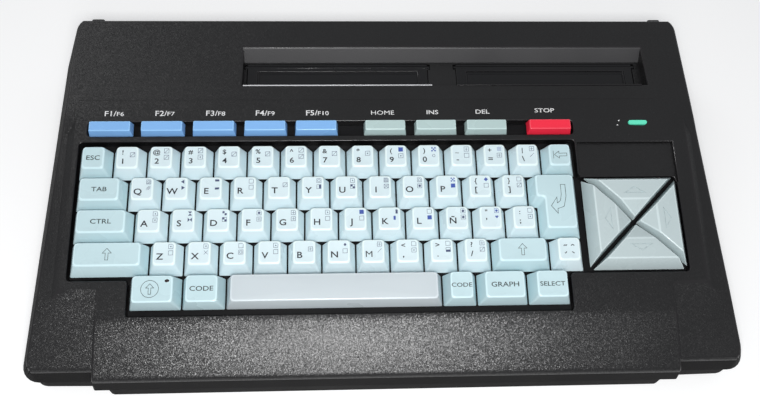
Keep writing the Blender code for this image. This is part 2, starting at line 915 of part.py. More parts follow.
def cap_points(left, right, row, tall):
    """The eight corners of a keycap's outside, at the foot and at the top."""
    low_x = left * key_unit + cap_gap / 2
    high_x = right * key_unit - cap_gap / 2
    middle = (last_row - row) * key_unit
    half = (key_unit - cap_row_gap) / 2
    height, depth, lean = (
        (front_cap_height, front_cap_top_depth, front_cap_top_lean)
        if tall
        else (cap_height, cap_top_depth, cap_top_lean)
    )
    foot = rectangle(low_x, middle - half, high_x, middle + half)
    top = rectangle(
        low_x + cap_side_slope,
        middle + lean - depth / 2,
        high_x - cap_side_slope,
        middle + lean + depth / 2,
    )
    return foot, top, height


def add_cap(shape, foot, top, height, base):
    """Add one keycap to a bmesh: a tapered cup, open below, with its stem."""
    verts = add_box_shape(shape, (*foot[0], base), (*foot[2], base + height))
    for vertex in verts:
        if vertex.co.z > base + height / 2:
            vertex.co.x = top[0][0] if vertex.co.x < (foot[0][0] + foot[2][0]) / 2 else top[2][0]
            vertex.co.y = top[0][1] if vertex.co.y < (foot[0][1] + foot[2][1]) / 2 else top[2][1]
    under = min({f for v in verts for f in v.link_faces}, key=lambda f: f.calc_center_median().z)
    x = (foot[0][0] + foot[2][0]) / 2
    y = (foot[0][1] + foot[2][1]) / 2
    ceiling = base + height - cap_wall
    for low, high, z in ((foot[0], foot[2], base), (top[0], top[2], ceiling)):
        inner = rectangle(low[0] + cap_wall, low[1] + cap_wall, high[0] - cap_wall, high[1] - cap_wall)
        under = step_in(shape, under, inner, z)
    half = stem_size / 2
    stem = rectangle(x - half, y - half, x + half, y + half)
    under = step_in(shape, under, stem, ceiling)
    step_in(shape, under, stem, stem_foot)


def step_in(shape, face, corners, z):
    """Extrude one four-sided face to a rectangle at a height, and give back the moved face."""
    made = bmesh.ops.extrude_discrete_faces(shape, faces=[face])["faces"][0]
    low, high = corners[0], corners[2]
    middle = made.calc_center_median()
    for vertex in made.verts:
        vertex.co.x = low[0] if vertex.co.x < middle.x else high[0]
        vertex.co.y = low[1] if vertex.co.y < middle.y else high[1]
        vertex.co.z = z
    return made


def make_key(name, row, left, right, finish):
    """One key with its own stem."""
    shape = bmesh.new()
    foot, top, height = cap_points(left, right, row, row == last_row)
    add_cap(shape, foot, top, height, 0)
    return add_object(name, mesh_from(name, shape), finish, keyboard_frame)


def make_key_row(name, row, left, count):
    """A row of letter keys, whose stems a thin bar under the caps joins into one piece."""
    caps = bmesh.new()
    for number in range(count):
        foot, top, height = cap_points(left + number, left + number + 1, row, False)
        add_cap(caps, foot, top, height, 0)
    middle = (last_row - row) * key_unit
    first = (left + key_middle_share) * key_unit
    last = first + (count - 1) * key_unit
    keys = add_object(name, mesh_from(name, caps), frame=keyboard_frame)
    bar = box(
        name + "_bar",
        (first, middle - web_width / 2, -web_drop - web_depth),
        (last, middle + web_width / 2, -web_drop),
        frame=keyboard_frame,
    )
    join(keys, bar)
    finish_part(keys, letter_plastic)


def make_return_key():
    """The L-shaped return key: two caps of unlike width that run into each other."""
    shape = bmesh.new()
    foot, top, height = cap_points(return_lower_left_units, block_units, 3, False)
    tall_foot = rectangle(*foot[0], foot[2][0], foot[2][1] + key_unit)
    tall_top = rectangle(*top[0], top[2][0], top[2][1] + key_unit)
    add_cap(shape, tall_foot, tall_top, height, 0)
    key = add_object("return_key", mesh_from("return_key", shape), frame=keyboard_frame)
    foot, top, height = cap_points(return_upper_left_units, block_units, 2, False)
    step_right = tall_foot[0][0] + cap_wall / 2
    step = hull(
        "return_step",
        [
            (foot[0][0], foot[0][1], 0),
            (foot[0][0], foot[2][1], 0),
            (step_right, foot[0][1], 0),
            (step_right, foot[2][1] - step_drop, 0),
            (top[0][0], top[0][1], height - step_drop),
            (top[0][0], top[2][1], height - step_drop),
            (tall_top[0][0] + cap_wall / 2, top[0][1], height - step_drop),
            (tall_top[0][0] + cap_wall / 2, top[2][1], height - step_drop),
        ],
        frame=keyboard_frame,
    )
    join(key, step)
    finish_part(key, modifier_plastic)


def make_function_key(name, middle, width, finish):
    """One bar-shaped key of the row behind the keyboard."""
    shape = bmesh.new()
    y = (trough_front + trough_rear) / 2
    foot = rectangle(
        middle - width / 2, y - function_cap_depth / 2, middle + width / 2, y + function_cap_depth / 2
    )
    top_depth = function_cap_depth * function_top_share
    top_y = y + function_top_lean
    top = rectangle(
        foot[0][0] + function_side_slope,
        top_y - top_depth / 2,
        foot[2][0] - function_side_slope,
        top_y + top_depth / 2,
    )
    add_cap(shape, foot, top, function_cap_height, function_cap_foot)
    add_object(name, mesh_from(name, shape), finish, keyboard_frame)


def cursor_stem(direction):
    """The middle of a cursor key's stem, in the keyboard plane."""
    reach = (pad_size / 2 - pad_skirt) * (1 + pad_crease_share) / 2
    return pad_centre_x + reach * direction[0], pad_centre_y + reach * direction[1]


def make_cursor_key(name, direction):
    """One quarter of the square pad: a flat outer band, and an inner part that falls to the middle."""
    ahead = Vector(direction)
    across = Vector((-ahead.y, ahead.x))
    middle = Vector((pad_centre_x, pad_centre_y))
    tip = pad_groove / math.sqrt(2)
    edge = pad_size / 2
    rim = edge - pad_skirt
    crease = rim * pad_crease_share
    levels = (
        (tip, 0, 0),
        (tip, 0, pad_centre_height),
        (edge, edge - tip, 0),
        (rim, rim - tip, pad_height),
        (crease, crease - tip, pad_height),
    )
    points = []
    for out, spread, z in levels:
        for side in {1, -1} if spread else {1}:
            place = middle + ahead * out + across * spread * side
            points.append((*place, z))
    key = hull(name, points, frame=keyboard_frame)
    x, y = cursor_stem(direction)
    half = stem_size / 2
    join(key, box(name + "_stem", (x - half, y - half, stem_foot), (x + half, y + half, pad_height / 2),
                  frame=keyboard_frame))
    finish_part(key, grey_green_plastic)


def stem_centres():
    """The middle of every key's stem, in the keyboard plane."""
    made = []
    for name, row, left, right, finish in single_keys:
        made.append(((left + right) / 2 * key_unit, (last_row - row) * key_unit))
    for name, row, left, count in key_rows:
        for number in range(count):
            made.append(((left + number + key_middle_share) * key_unit, (last_row - row) * key_unit))
    return_x = (return_lower_left_units + block_units) / 2 * key_unit
    made.append((return_x, (last_row - 2 - key_middle_share) * key_unit))
    y = (trough_front + trough_rear) / 2
    for middle in (*function_key_centres, *edit_key_centres, stop_key_centre):
        made.append((middle, y))
    for name, direction in cursor_keys:
        made.append(cursor_stem(direction))
    return made


def guide_outline(shrink):
    """The key guide in plan: it follows the well and the trough, past their edges by its margin."""
    grow = guide_margin - shrink
    row_five_left = front_row_left_units * key_unit - well_margin - grow
    row_five_right = front_row_right_units * key_unit + well_margin + grow
    left = -well_margin - grow
    right = pad_high_x + grow
    return [
        (row_five_left, palm_rear - grow),
        (row_five_right, palm_rear - grow),
        (row_five_right, pad_low_y - grow),
        (right, pad_low_y - grow),
        (right, trough_rear + grow),
        (left, trough_rear + grow),
        (left, well_lower_left - grow),
        (row_five_left, well_lower_left - grow),
    ]


def make_key_guide():
    """The black tray under the keys, with a hole for each stem and a rim that stands on its board."""
    rim_foot = keyboard_board_top + fit_gap
    guide = extruded("key_guide", guide_outline(0), rim_foot, guide_top, frame=keyboard_frame)
    inner = guide_outline(guide_rim)
    half = stem_size / 2 + stem_gap
    holes = [
        ((x - half, y - half, guide_bottom - overrun), (x + half, y + half, guide_top + overrun))
        for x, y in stem_centres()
    ]
    hollow = extruded("guide_hollow", inner, rim_foot - overrun, guide_bottom, frame=keyboard_frame)
    cut(guide, hollow, boxes("stem_holes", holes, frame=keyboard_frame))
    finish_part(guide, inner_plastic)
    sheet = guide_outline(guide_rim + fit_gap)
    extruded("key_contact_sheet", sheet, sheet_bottom, sheet_top, sheet_rubber, keyboard_frame)
    extruded(
        "keyboard_board",
        guide_outline(0),
        keyboard_board_top - board_thickness,
        keyboard_board_top,
        green_board,
        keyboard_frame,
    )


def make_keys():
    """Every key of the keyboard, the function row and the cursor pad."""
    for name, row, left, right, finish in single_keys:
        make_key(name, row, left, right, finish)
    for name, row, left, count in key_rows:
        make_key_row(name, row, left, count)
    make_return_key()
    for number, middle in enumerate(function_key_centres, 1):
        make_function_key(f"function_key_{number}", middle, function_key_width, blue_plastic)
    for name, middle in zip(("home_key", "insert_key", "delete_key"), edit_key_centres):
        make_function_key(name, middle, edit_key_width, grey_green_plastic)
    make_function_key("stop_key", stop_key_centre, stop_key_width, red_plastic)
    for name, direction in cursor_keys:
        make_cursor_key(name, direction)


def make_power_lamp():
    """The power lamp's lens, beside the function row."""
    extruded(
        "power_lamp",
        lamp_outline(0),
        surface_rise - power_lamp_depth,
        surface_rise + power_lamp_proud,
        green_lens,
        keyboard_frame,
    )


def make_doors():
    """The two cartridge doors, each with its pins and a shallow panel in its top."""
    pin_y, pin_z = door_pin_place()
    for number, middle in enumerate(slot_centres, 1):
        low = (middle - slot_width / 2 + door_play, recess_front + slot_front_margin + door_play)
        high = (middle + slot_width / 2 - door_play, low[1] + slot_length - door_play - door_play)
        hinge = Matrix.Translation((middle, pin_y, pin_z))
        back = hinge.inverted()
        corner = back @ Vector((*low, recess_floor - door_thickness))
        other = back @ Vector((*high, recess_floor))
        door = box(f"cartridge_door_{number}", corner, other, frame=hinge)
        reach = slot_width / 2 + door_pin_reach - door_play
        radius = door_pin_radius - door_play / 2
        pin = cylinder(
            f"door_pin_{number}", radius, (-reach, 0, 0), (reach, 0, 0), pin_sides, frame=hinge
        )
        panel = box(
            f"door_panel_{number}",
            (corner.x + door_panel_margin, corner.y + door_panel_front, other.z - door_panel_depth),
            (other.x - door_panel_margin, other.y - door_panel_rear, other.z + overrun),
            frame=hinge,
        )
        cut(join(door, pin), panel)
        finish_part(door, door_plastic)


def make_boards():
    """The main board, its chips and the two cartridge connectors under the slots."""
    box(
        "main_board",
        (board_low_x, board_low_y, main_board_bottom),
        (board_low_x + board_width, board_low_y + board_depth, main_board_top),
        green_board,
    )
    seat = main_board_top + fit_gap
    chips = (
        ("processor_chip", processor_place, processor_size),
        ("video_chip", video_chip_place, video_chip_size),
        ("memory_chip", memory_chip_place, memory_chip_size),
    )
    for name, place, (width, depth) in chips:
        x = board_low_x + place[0]
        y = board_low_y + place[1]
        box(
            name,
            (x - width / 2, y - depth / 2, seat),
            (x + width / 2, y + depth / 2, seat + chip_height),
            chip_black,
        )
    y = recess_front + slot_front_margin + slot_length / 2
    half_width = slot_width / 2 - connector_end_gap
    half_slit = half_width - connector_slit_margin
    for number, middle in enumerate(slot_centres, 1):
        top = seat + connector_height
        connector = box(
            f"cartridge_connector_{number}",
            (middle - half_width, y - connector_depth / 2, seat),
            (middle + half_width, y + connector_depth / 2, top),
        )
        slit = box(
            f"connector_slit_{number}",
            (middle - half_slit, y - connector_slit_depth / 2, top - connector_slit_reach),
            (middle + half_slit, y + connector_slit_depth / 2, top + overrun),
        )
        cut(connector, slit)
        finish_part(connector, chip_black)


def make_power_supply():
    """The mains transformer on the floor, and the finned sink of the regulator on the main board."""
    x = transformer_side_inset - case_width / 2
    y = rear_y - transformer_rear_inset
    width, depth, height = transformer_size
    seat = floor_top + fit_gap
    core_depth = depth * transformer_core_share
    core_low = y + (depth - core_depth) / 2
    core = box("mains_transformer", (x, core_low, seat), (x + width, core_low + core_depth, seat + height))
    rim = transformer_core_rim
    coil = box(
        "transformer_coil",
        (x + rim + rim, y, seat + rim),
        (x + width - rim - rim, y + depth, seat + height - rim),
    )
    join(core, coil)
    finish_part(core, bare_steel)

    x = board_low_x + heat_sink_place[0]
    y = board_low_y + heat_sink_place[1]
    width, depth, height = heat_sink_size
    seat = main_board_top + fit_gap
    sink = box("regulator_heat_sink", (x, y, seat), (x + width, y + depth, seat + height))
    gap = (width - heat_sink_fins * heat_sink_fin) / (heat_sink_fins - 1)
    spaces = []
    for number in range(heat_sink_fins - 1):
        low_x = x + heat_sink_fin + number * (gap + heat_sink_fin)
        spaces.append((
            (low_x, y - overrun, seat + heat_sink_base),
            (low_x + gap, y + depth + overrun, seat + height + overrun),
        ))
    cut(sink, boxes("sink_spaces", spaces))
    finish_part(sink, sink_aluminium)


def socket_block(name, place):
    """A socket's block on its sill behind the rear wall, and the y of its face."""
    middle, width, height, depth = place
    face = rear_y - socket_face_inset
    block = box(
        name,
        (middle - width / 2, face - depth, socket_sill),
        (middle + width / 2, face, socket_sill + height),
    )
    return block, face


def make_round_socket(name, place):
    """A block with a round hole for a plug."""
    block, face = socket_block(name, place)
    middle, width, height, depth = place
    z = socket_sill + height / 2
    cut(block, cylinder(
        name + "_hole",
        round_hole_radius,
        (middle, face - round_hole_depth, z),
        (middle, face + overrun, z),
        round_hole_sides,
    ))
    finish_part(block, inner_plastic)


def make_port(name, place, finish):
    """A many-pin port: a block with a shallow hollow in its face."""
    block, face = socket_block(name, place)
    middle, width, height, depth = place
    cut(block, box(
        name + "_hollow",
        (middle - width / 2 + port_lip, face - port_hole_depth, socket_sill + port_lip),
        (middle + width / 2 - port_lip, face + overrun, socket_sill + height - port_lip),
    ))
    finish_part(block, finish)


def make_mains_inlet(place):
    """The mains inlet: a hollow block with two pins."""
    block, face = socket_block("mains_inlet", place)
    middle, width, height, depth = place
    back = face - inlet_hole_depth
    z = socket_sill + height / 2
    hollow = box(
        "inlet_hollow",
        (middle - width / 2 + inlet_lip, back, socket_sill + inlet_lip + inlet_lip),
        (middle + width / 2 - inlet_lip, face + overrun, socket_sill + height - inlet_lip - inlet_lip),
    )
    half = inlet_pin_size / 2
    pins = []
    for side in (-1, 1):
        x = middle + side * inlet_pin_pitch / 2
        pins.append(((x - half, back - overrun, z - half), (x + half, back + inlet_pin_length, z + half)))
    cut(block, hollow)
    join(block, boxes("inlet_pins", pins))
    finish_part(block, inner_plastic)


def make_power_switch(place):
    """The power switch: a frame in the rear wall, and the rocker that tilts in it."""
    frame, face = socket_block("power_switch_frame", place)
    middle, width, height, depth = place
    half_width, half_height = rocker_size[0] / 2, rocker_size[1] / 2
    z = socket_sill + height / 2
    cut(frame, box(
        "rocker_room",
        (middle - half_width - fit_gap, face - rocker_thickness - rocker_play, z - half_height - rocker_play),
        (middle + half_width + fit_gap, face + overrun, z + half_height + rocker_play),
    ))
    finish_part(frame, inner_plastic)
    hinge = Matrix.Translation((middle, face - rocker_thickness / 2, z))
    outline = [
        (-rocker_thickness / 2, -half_height),
        (rocker_thickness / 2 - rocker_crown, -half_height),
        (rocker_thickness / 2, half_height),
        (-rocker_thickness / 2, half_height),
    ]
    rocker = extruded("power_switch", outline, -half_width, half_width, frame=hinge @ sideways)
    finish_part(rocker, red_plastic)


def make_sockets():
    """Everything that shows in the rear wall."""
    inlet, switch, modulator, video, cassette, printer, *joysticks = socket_places()
    make_mains_inlet(inlet)
    make_power_switch(switch)
    block, face = socket_block("modulator_box", modulator)
    z = socket_sill + modulator[2] / 2
    join(block, cylinder(
        "aerial_stub",
        coax_radius,
        (modulator[0], face - overrun, z),
        (modulator[0], face + socket_face_inset, z),
        round_hole_sides,
    ))
    finish_part(block, bare_steel)
    make_round_socket("video_socket", video)
    make_round_socket("cassette_socket", cassette)
    make_port("printer_port", printer, inner_plastic)
    for number, place in enumerate(joysticks, 1):
        make_port(f"joystick_port_{number}", place, bare_steel)


single_keys = (
    ("escape_key", 1, 0, 1, modifier_plastic),
    ("backspace_key", 1, 14, 15, modifier_plastic),
    ("tab_key", 2, 0, 1.5, modifier_plastic),
    ("control_key", 3, 0, 1.75, modifier_plastic),
    ("left_shift_key", 4, 0, 2.25, modifier_plastic),
    ("right_shift_key", 4, 12.25, 14, modifier_plastic),
    ("accents_key", 4, 14, 15, letter_plastic),
    ("caps_key", 5, 1.75, 3.25, modifier_plastic),
    ("left_code_key", 5, 3.25, 4.5, modifier_plastic),
    ("space_bar", 5, 4.5, 10.75, letter_plastic),
    ("right_code_key", 5, 10.75, 11.75, modifier_plastic),
    ("graph_key", 5, 11.75, 13.25, modifier_plastic),
    ("select_key", 5, 13.25, 14.5, modifier_plastic),
)
key_rows = (
    ("number_row_keys", 1, 1, 13),
    ("upper_letter_keys", 2, 1.5, 12),
    ("home_letter_keys", 3, 1.75, 12),
    ("lower_letter_keys", 4, 2.25, 10),
)
cursor_keys = (
    ("cursor_up_key", (0, 1)),
    ("cursor_down_key", (0, -1)),
    ("cursor_left_key", (-1, 0)),
    ("cursor_right_key", (1, 0)),
)

make_upper_case()
make_lower_case()
make_feet()
make_keys()
make_key_guide()
make_power_lamp()
make_doors()
make_boards()
make_power_supply()
make_sockets()
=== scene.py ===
"""The vintage home computer as photographed: keycaps with their lettering, softened edges, moulded grain,
lamp and labels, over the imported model. Metres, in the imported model's frame."""

import json
import math

import bmesh
import bpy
from mathutils import Matrix, Vector
from mathutils.bvhtree import BVHTree


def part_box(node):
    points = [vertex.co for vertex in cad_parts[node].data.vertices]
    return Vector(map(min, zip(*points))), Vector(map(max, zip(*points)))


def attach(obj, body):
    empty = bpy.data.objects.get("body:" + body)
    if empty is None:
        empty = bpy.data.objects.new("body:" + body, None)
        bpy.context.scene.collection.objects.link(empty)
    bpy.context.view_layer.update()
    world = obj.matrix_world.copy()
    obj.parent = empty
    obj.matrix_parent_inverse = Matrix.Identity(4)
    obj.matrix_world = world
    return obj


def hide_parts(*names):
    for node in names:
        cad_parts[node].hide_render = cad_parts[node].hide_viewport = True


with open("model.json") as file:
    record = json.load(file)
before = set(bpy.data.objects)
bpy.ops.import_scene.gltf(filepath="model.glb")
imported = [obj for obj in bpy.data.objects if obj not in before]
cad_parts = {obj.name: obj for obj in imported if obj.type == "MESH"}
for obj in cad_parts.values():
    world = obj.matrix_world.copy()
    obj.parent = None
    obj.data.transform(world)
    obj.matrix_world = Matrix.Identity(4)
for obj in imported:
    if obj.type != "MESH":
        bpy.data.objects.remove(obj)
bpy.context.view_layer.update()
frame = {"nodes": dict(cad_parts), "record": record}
nodes = frame["nodes"]

key_unit = 0.01905
last_row = 5
keyboard_tilt = math.radians(6.5)
# Keyboard plane: x from the key block's left end, y from the front row's middle, z from the keycaps' foot
keyboard = Matrix.Translation((-0.1755, -0.06725, 0.047648)) @ Matrix.Rotation(keyboard_tilt, 4, "X")
in_world = Matrix.Identity(4)
surface_rise = 0.001  # of the deck and the surround over the keyboard plane
stem_width = 0.005
sharp_corner = math.radians(38)
arc_steps = 4  # in an outline's rounded corner
rim_steps = 4  # in a keycap's rounded rim
# Slot of a keycap's paler rim finish, a painted highlight
highlight_rim_slot = 1
# Slots of the shells' duller walls (painted shade), the recess's lighter rear wall and the softened edges
# (painted highlights)
shaded_side_slot, recess_highlight_slot, edge_highlight_slot = 1, 2, 3


# Camera, floor and light


def place_camera():
    """The photograph's camera, solved from its keycaps, in the keyboard plane's frame."""
    sensor_width, focal_pixels, photo_pixels = 36, 889.858, 760
    right = (0.998657, -0.026322, 0.044629)
    down = (-0.009528, -0.939949, -0.341181)
    ahead = (0.050930, 0.340297, -0.938938)
    eye = (0.145548, -0.123980, 0.478124)
    turn = Matrix([(a, -b, -c, e) for a, b, c, e in zip(right, down, ahead, eye)] + [(0, 0, 0, 1)])
    lens = bpy.data.cameras.new("photo_camera")
    lens.sensor_width = sensor_width
    lens.sensor_fit = "HORIZONTAL"
    lens.lens = sensor_width * focal_pixels / photo_pixels
    lens.clip_start = 0.01
    camera = bpy.data.objects.new("photo_camera", lens)
    bpy.context.scene.collection.objects.link(camera)
    camera.matrix_world = keyboard @ turn
    bpy.context.scene.camera = camera


def add_light(name, place, target, size, power):
    """A rectangular soft light that looks at a point."""
    lamp = bpy.data.lights.new(name, "AREA")
    lamp.shape = "RECTANGLE"
    lamp.size, lamp.size_y = size
    lamp.energy = power
    light = bpy.data.objects.new(name, lamp)
    bpy.context.scene.collection.objects.link(light)
    light.location = place
    light.rotation_euler = (Vector(target) - Vector(place)).to_track_quat("-Z", "Y").to_euler()


# Each light's name, place, aim, size and power; the first two make the flash's glow on the palm rest
lights = [
    ("front", keyboard @ Vector((0.15, -0.19, 0.55)), (0, -0.02, 0.04), (0.16, 0.08), 2.5),
    ("low", keyboard @ Vector((0.14, -0.36, 0.48)), (0, -0.06, 0.04), (0.20, 0.06), 0.4),
    ("left", (-0.75, 0.75, 1.1), (0, 0, 0), (0.5, 0.5), 1.2),
]
floor_size, floor_glow = 4, 0.30
world_colour, world_strength = (0.95, 0.97, 1.0, 1), 0.36


def set_stage():
    """A white floor that keeps the shadow, a pale world and soft lights from above."""
    shape = bmesh.new()
    bmesh.ops.create_grid(shape, x_segments=1, y_segments=1, size=floor_size)
    mesh = bpy.data.meshes.new("floor")
    shape.to_mesh(mesh)
    shape.free()
    floor = bpy.data.objects.new("floor", mesh)
    bpy.context.scene.collection.objects.link(floor)
    paper = bpy.data.materials.new("paper")
    paper.use_nodes = True
    tree = paper.node_tree
    shader = tree.nodes["Principled BSDF"]
    shader.inputs["Base Color"].default_value = (0.86, 0.86, 0.86, 1)
    shader.inputs["Roughness"].default_value = 0.9
    shader.inputs["Emission Color"].default_value = (1, 1, 1, 1)
    ray = tree.nodes.new("ShaderNodeLightPath").outputs
    either = add_node(tree, "ShaderNodeMath", [(0, ray["Is Camera Ray"]), (1, ray["Is Glossy Ray"])],
                      operation="MAXIMUM")
    seen = add_node(tree, "ShaderNodeMath", [(0, either.outputs[0])], operation="MULTIPLY")
    seen.inputs[1].default_value = floor_glow
    tree.links.new(seen.outputs[0], shader.inputs["Emission Strength"])
    mesh.materials.append(paper)
    world = bpy.data.worlds.new("studio")
    world.use_nodes = True
    sky = world.node_tree.nodes["Background"]
    sky.inputs["Color"].default_value = world_colour
    sky.inputs["Strength"].default_value = world_strength
    bpy.context.scene.world = world
    bpy.context.scene.view_settings.view_transform = "Standard"
    for light in lights:
        add_light(*light)


# Materials


def add_node(tree, kind, links=(), **values):
    """A shader node with its values set, by input name, and its links made, by input name or number."""
    node = tree.nodes.new(kind)
    for name, value in values.items():
        if hasattr(node, name):
            setattr(node, name, value)
        else:
            node.inputs[name.replace("_", " ")].default_value = value
    for name, socket in links:
        tree.links.new(socket, node.inputs[name])
    return node


drift_scale, rub_scale = 22.0, 140.0
# The pale colour of the grain's painted sparkle specks, the darkening of soiled patches and the coat's
# roughness
painted_sparkle_colour, soil_shade, coat_roughness = (0.30, 0.29, 0.31, 1), 0.8, 0.12


def moulded(name, colour, roughness, grain=0.0003, relief=0.00001, spread=0.06, gloss_spread=0.08,
            worn=0.0, painted_sparkle=0.0, metallic=0.0, coat=0.0, glow=0.0, specular=0.5, glint=0.0):
    """A finish with colour drift, a grain in relief and uneven gloss; painted sparkle specks, wear and glints
    if asked.
    """
    made = bpy.data.materials.new(name)
    made.use_nodes = True
    tree = made.node_tree
    shader = tree.nodes["Principled BSDF"]
    shader.inputs["Metallic"].default_value = metallic
    shader.inputs["Specular IOR Level"].default_value = specular
    shader.inputs["Coat Weight"].default_value = coat
    shader.inputs["Coat Roughness"].default_value = coat_roughness
    if glow:
        shader.inputs["Emission Color"].default_value = (*colour, 1)
        shader.inputs["Emission Strength"].default_value = glow
    place = tree.nodes.new("ShaderNodeTexCoord").outputs["Object"]
    drift = add_node(tree, "ShaderNodeTexNoise", [("Vector", place)], Scale=drift_scale, Detail=4.0)
    pale = [min(1, c * (1 + spread)) for c in colour]
    deep = [c * (1 - spread) for c in colour]
    tone = add_node(tree, "ShaderNodeMix", [("Factor", drift.outputs["Fac"])], data_type="RGBA")
    tone.inputs["A"].default_value = (*deep, 1)
    tone.inputs["B"].default_value = (*pale, 1)
    tone_out = tone.outputs["Result"]
    fine = add_node(tree, "ShaderNodeTexNoise", [("Vector", place)], Scale=0.5 / grain, Detail=2.0)
    # Pale specks at the grain's peaks: a painted sparkle
    if painted_sparkle:
        painted_sparkle_mask = add_node(tree, "ShaderNodeMapRange", [("Value", fine.outputs["Fac"])],
                        From_Min=0.60, From_Max=0.78, To_Min=0.0, To_Max=painted_sparkle)
        painted_sparkle_mix = add_node(tree, "ShaderNodeMix", [("Factor", painted_sparkle_mask.outputs["Result"])], data_type="RGBA")
        tree.links.new(tone_out, painted_sparkle_mix.inputs["A"])
        painted_sparkle_mix.inputs["B"].default_value = painted_sparkle_colour
        tone_out = painted_sparkle_mix.outputs["Result"]
    if worn:
        rub = add_node(tree, "ShaderNodeTexNoise", [("Vector", place)], Scale=rub_scale, Detail=6.0)
        patch = add_node(tree, "ShaderNodeMapRange", [("Value", rub.outputs["Fac"])],
                         From_Min=0.45, From_Max=0.90, To_Min=0.0, To_Max=worn)
        soiled = add_node(tree, "ShaderNodeMix", [("Factor", patch.outputs["Result"])], data_type="RGBA")
        tree.links.new(tone_out, soiled.inputs["A"])
        soiled.inputs["B"].default_value = (*[c * soil_shade for c in colour], 1)
        tone_out = soiled.outputs["Result"]
    tree.links.new(tone_out, shader.inputs["Base Color"])
    gloss = add_node(tree, "ShaderNodeMapRange", [("Value", drift.outputs["Fac"])],
                     From_Min=0.3, From_Max=0.7,
                     To_Min=roughness - gloss_spread, To_Max=roughness + gloss_spread)
    tree.links.new(gloss.outputs["Result"], shader.inputs["Roughness"])
    bump = add_node(tree, "ShaderNodeBump", [("Height", fine.outputs["Fac"])], Strength=1.0, Distance=relief)
    normal_out = bump.outputs["Normal"]
    if glint:
        kind = "ShaderNodeVectorMath"
        cells = add_node(tree, "ShaderNodeTexVoronoi", [("Vector", place)], Scale=0.9 / grain)
        turned = add_node(tree, kind, [(0, cells.outputs["Color"])], operation="SUBTRACT")
        turned.inputs[1].default_value = (0.5, 0.5, 0.5)
        scaled = add_node(tree, kind, [(0, turned.outputs["Vector"])], operation="SCALE", Scale=glint)
        tilted = add_node(tree, kind, [(0, normal_out), (1, scaled.outputs["Vector"])], operation="ADD")
        level = add_node(tree, kind, [(0, tilted.outputs["Vector"])], operation="NORMALIZE")
        normal_out = level.outputs["Vector"]
    tree.links.new(normal_out, shader.inputs["Normal"])
    return made


# The case finish has pale specks of painted sparkle
case_skin = moulded("case_skin", (0.0045, 0.0042, 0.0046), 0.33, 0.0003, 0.000012, 0.25, 0.03, painted_sparkle=0.04,
                    specular=0.68, glint=0.30)
# A paler, glossier case finish for softened edges and drawn lines: painted edge highlights
edge_highlight_skin = moulded("edge_highlight_skin", (0.014, 0.013, 0.014), 0.30, 0.0004, 0.00003, 0.2, 0.05)
# A pale glossy finish for a door's lip: a painted highlight
lip_highlight_skin = moulded("lip_highlight_skin", (0.60, 0.60, 0.62), 0.22, 0.0005, 0.00001, 0.2, 0.05)
# A duller, less reflective copy of the case finish for upright walls: painted shade
shaded_side_skin = moulded("shaded_side_skin", (0.0050, 0.0047, 0.0050), 0.75, 0.0004, 0.00008, 0.25, 0.05, specular=0.12)
# A lighter grey copy for the cartridge recess's rear wall, which faces the light: a painted highlight
recess_highlight_skin = moulded("recess_highlight_skin", (0.050, 0.049, 0.051), 0.45, 0.0004, 0.00006, 0.2, 0.06)
door_skin = moulded("door_skin", (0.006, 0.006, 0.007), 0.2, 0.0005, 0.000008, 0.3, 0.10)
inner_skin = moulded("inner_skin", (0.007, 0.007, 0.008), 0.5, 0.0004, 0.00002, 0.2, specular=0.25)
letter_skin = moulded("letter_skin", (0.69, 0.82, 0.86), 0.30, 0.0002, 0.00002, 0.03, 0.06, worn=0.04)
modifier_skin = moulded("modifier_skin", (0.55, 0.72, 0.76), 0.30, 0.0002, 0.00002, 0.04, 0.06, worn=0.04)
bar_skin = moulded("bar_skin", (0.56, 0.62, 0.65), 0.30, 0.0002, 0.00002, 0.03, 0.06, worn=0.04)
blue_skin = moulded("blue_skin", (0.24, 0.49, 0.88), 0.30, 0.0002, 0.00002, 0.05, 0.06, worn=0.04)
grey_green_skin = moulded("grey_green_skin", (0.49, 0.63, 0.62), 0.30, 0.0002, 0.00002, 0.04, 0.06, worn=0.04)
red_skin = moulded("red_skin", (0.97, 0.028, 0.065), 0.30, 0.0002, 0.00002, 0.05, 0.06, worn=0.04)
lens_skin = moulded("lens_skin", (0.10, 0.62, 0.42), 0.15, 0.0006, 0.00002, 0.10, 0.03, coat=0.6, glow=0.35)
dark_lens = moulded("dark_lens", (0.03, 0.02, 0.02), 0.15, 0.0006, 0.00001, 0.10, 0.03, coat=0.6)
board_skin = moulded("board_skin", (0.03, 0.16, 0.07), 0.45, 0.0010, 0.00004, 0.3)
chip_skin = moulded("chip_skin", (0.02, 0.02, 0.022), 0.55, 0.0003, 0.00002, 0.2)
steel_skin = moulded("steel_skin", (0.36, 0.36, 0.35), 0.46, 0.0004, 0.00001, 0.08, 0.10, metallic=1.0)
brass_skin = moulded("brass_skin", (0.70, 0.62, 0.42), 0.28, 0.0004, 0.00001, 0.08, 0.08, metallic=1.0)
sink_skin = moulded("sink_skin", (0.70, 0.70, 0.72), 0.42, 0.0004, 0.00001, 0.06, 0.08, metallic=1.0)
foot_skin = moulded("foot_skin", (0.02, 0.02, 0.02), 0.85, 0.0004, 0.00004, 0.2)
sheet_skin = moulded("sheet_skin", (0.35, 0.35, 0.36), 0.75, 0.0004, 0.00002, 0.1)
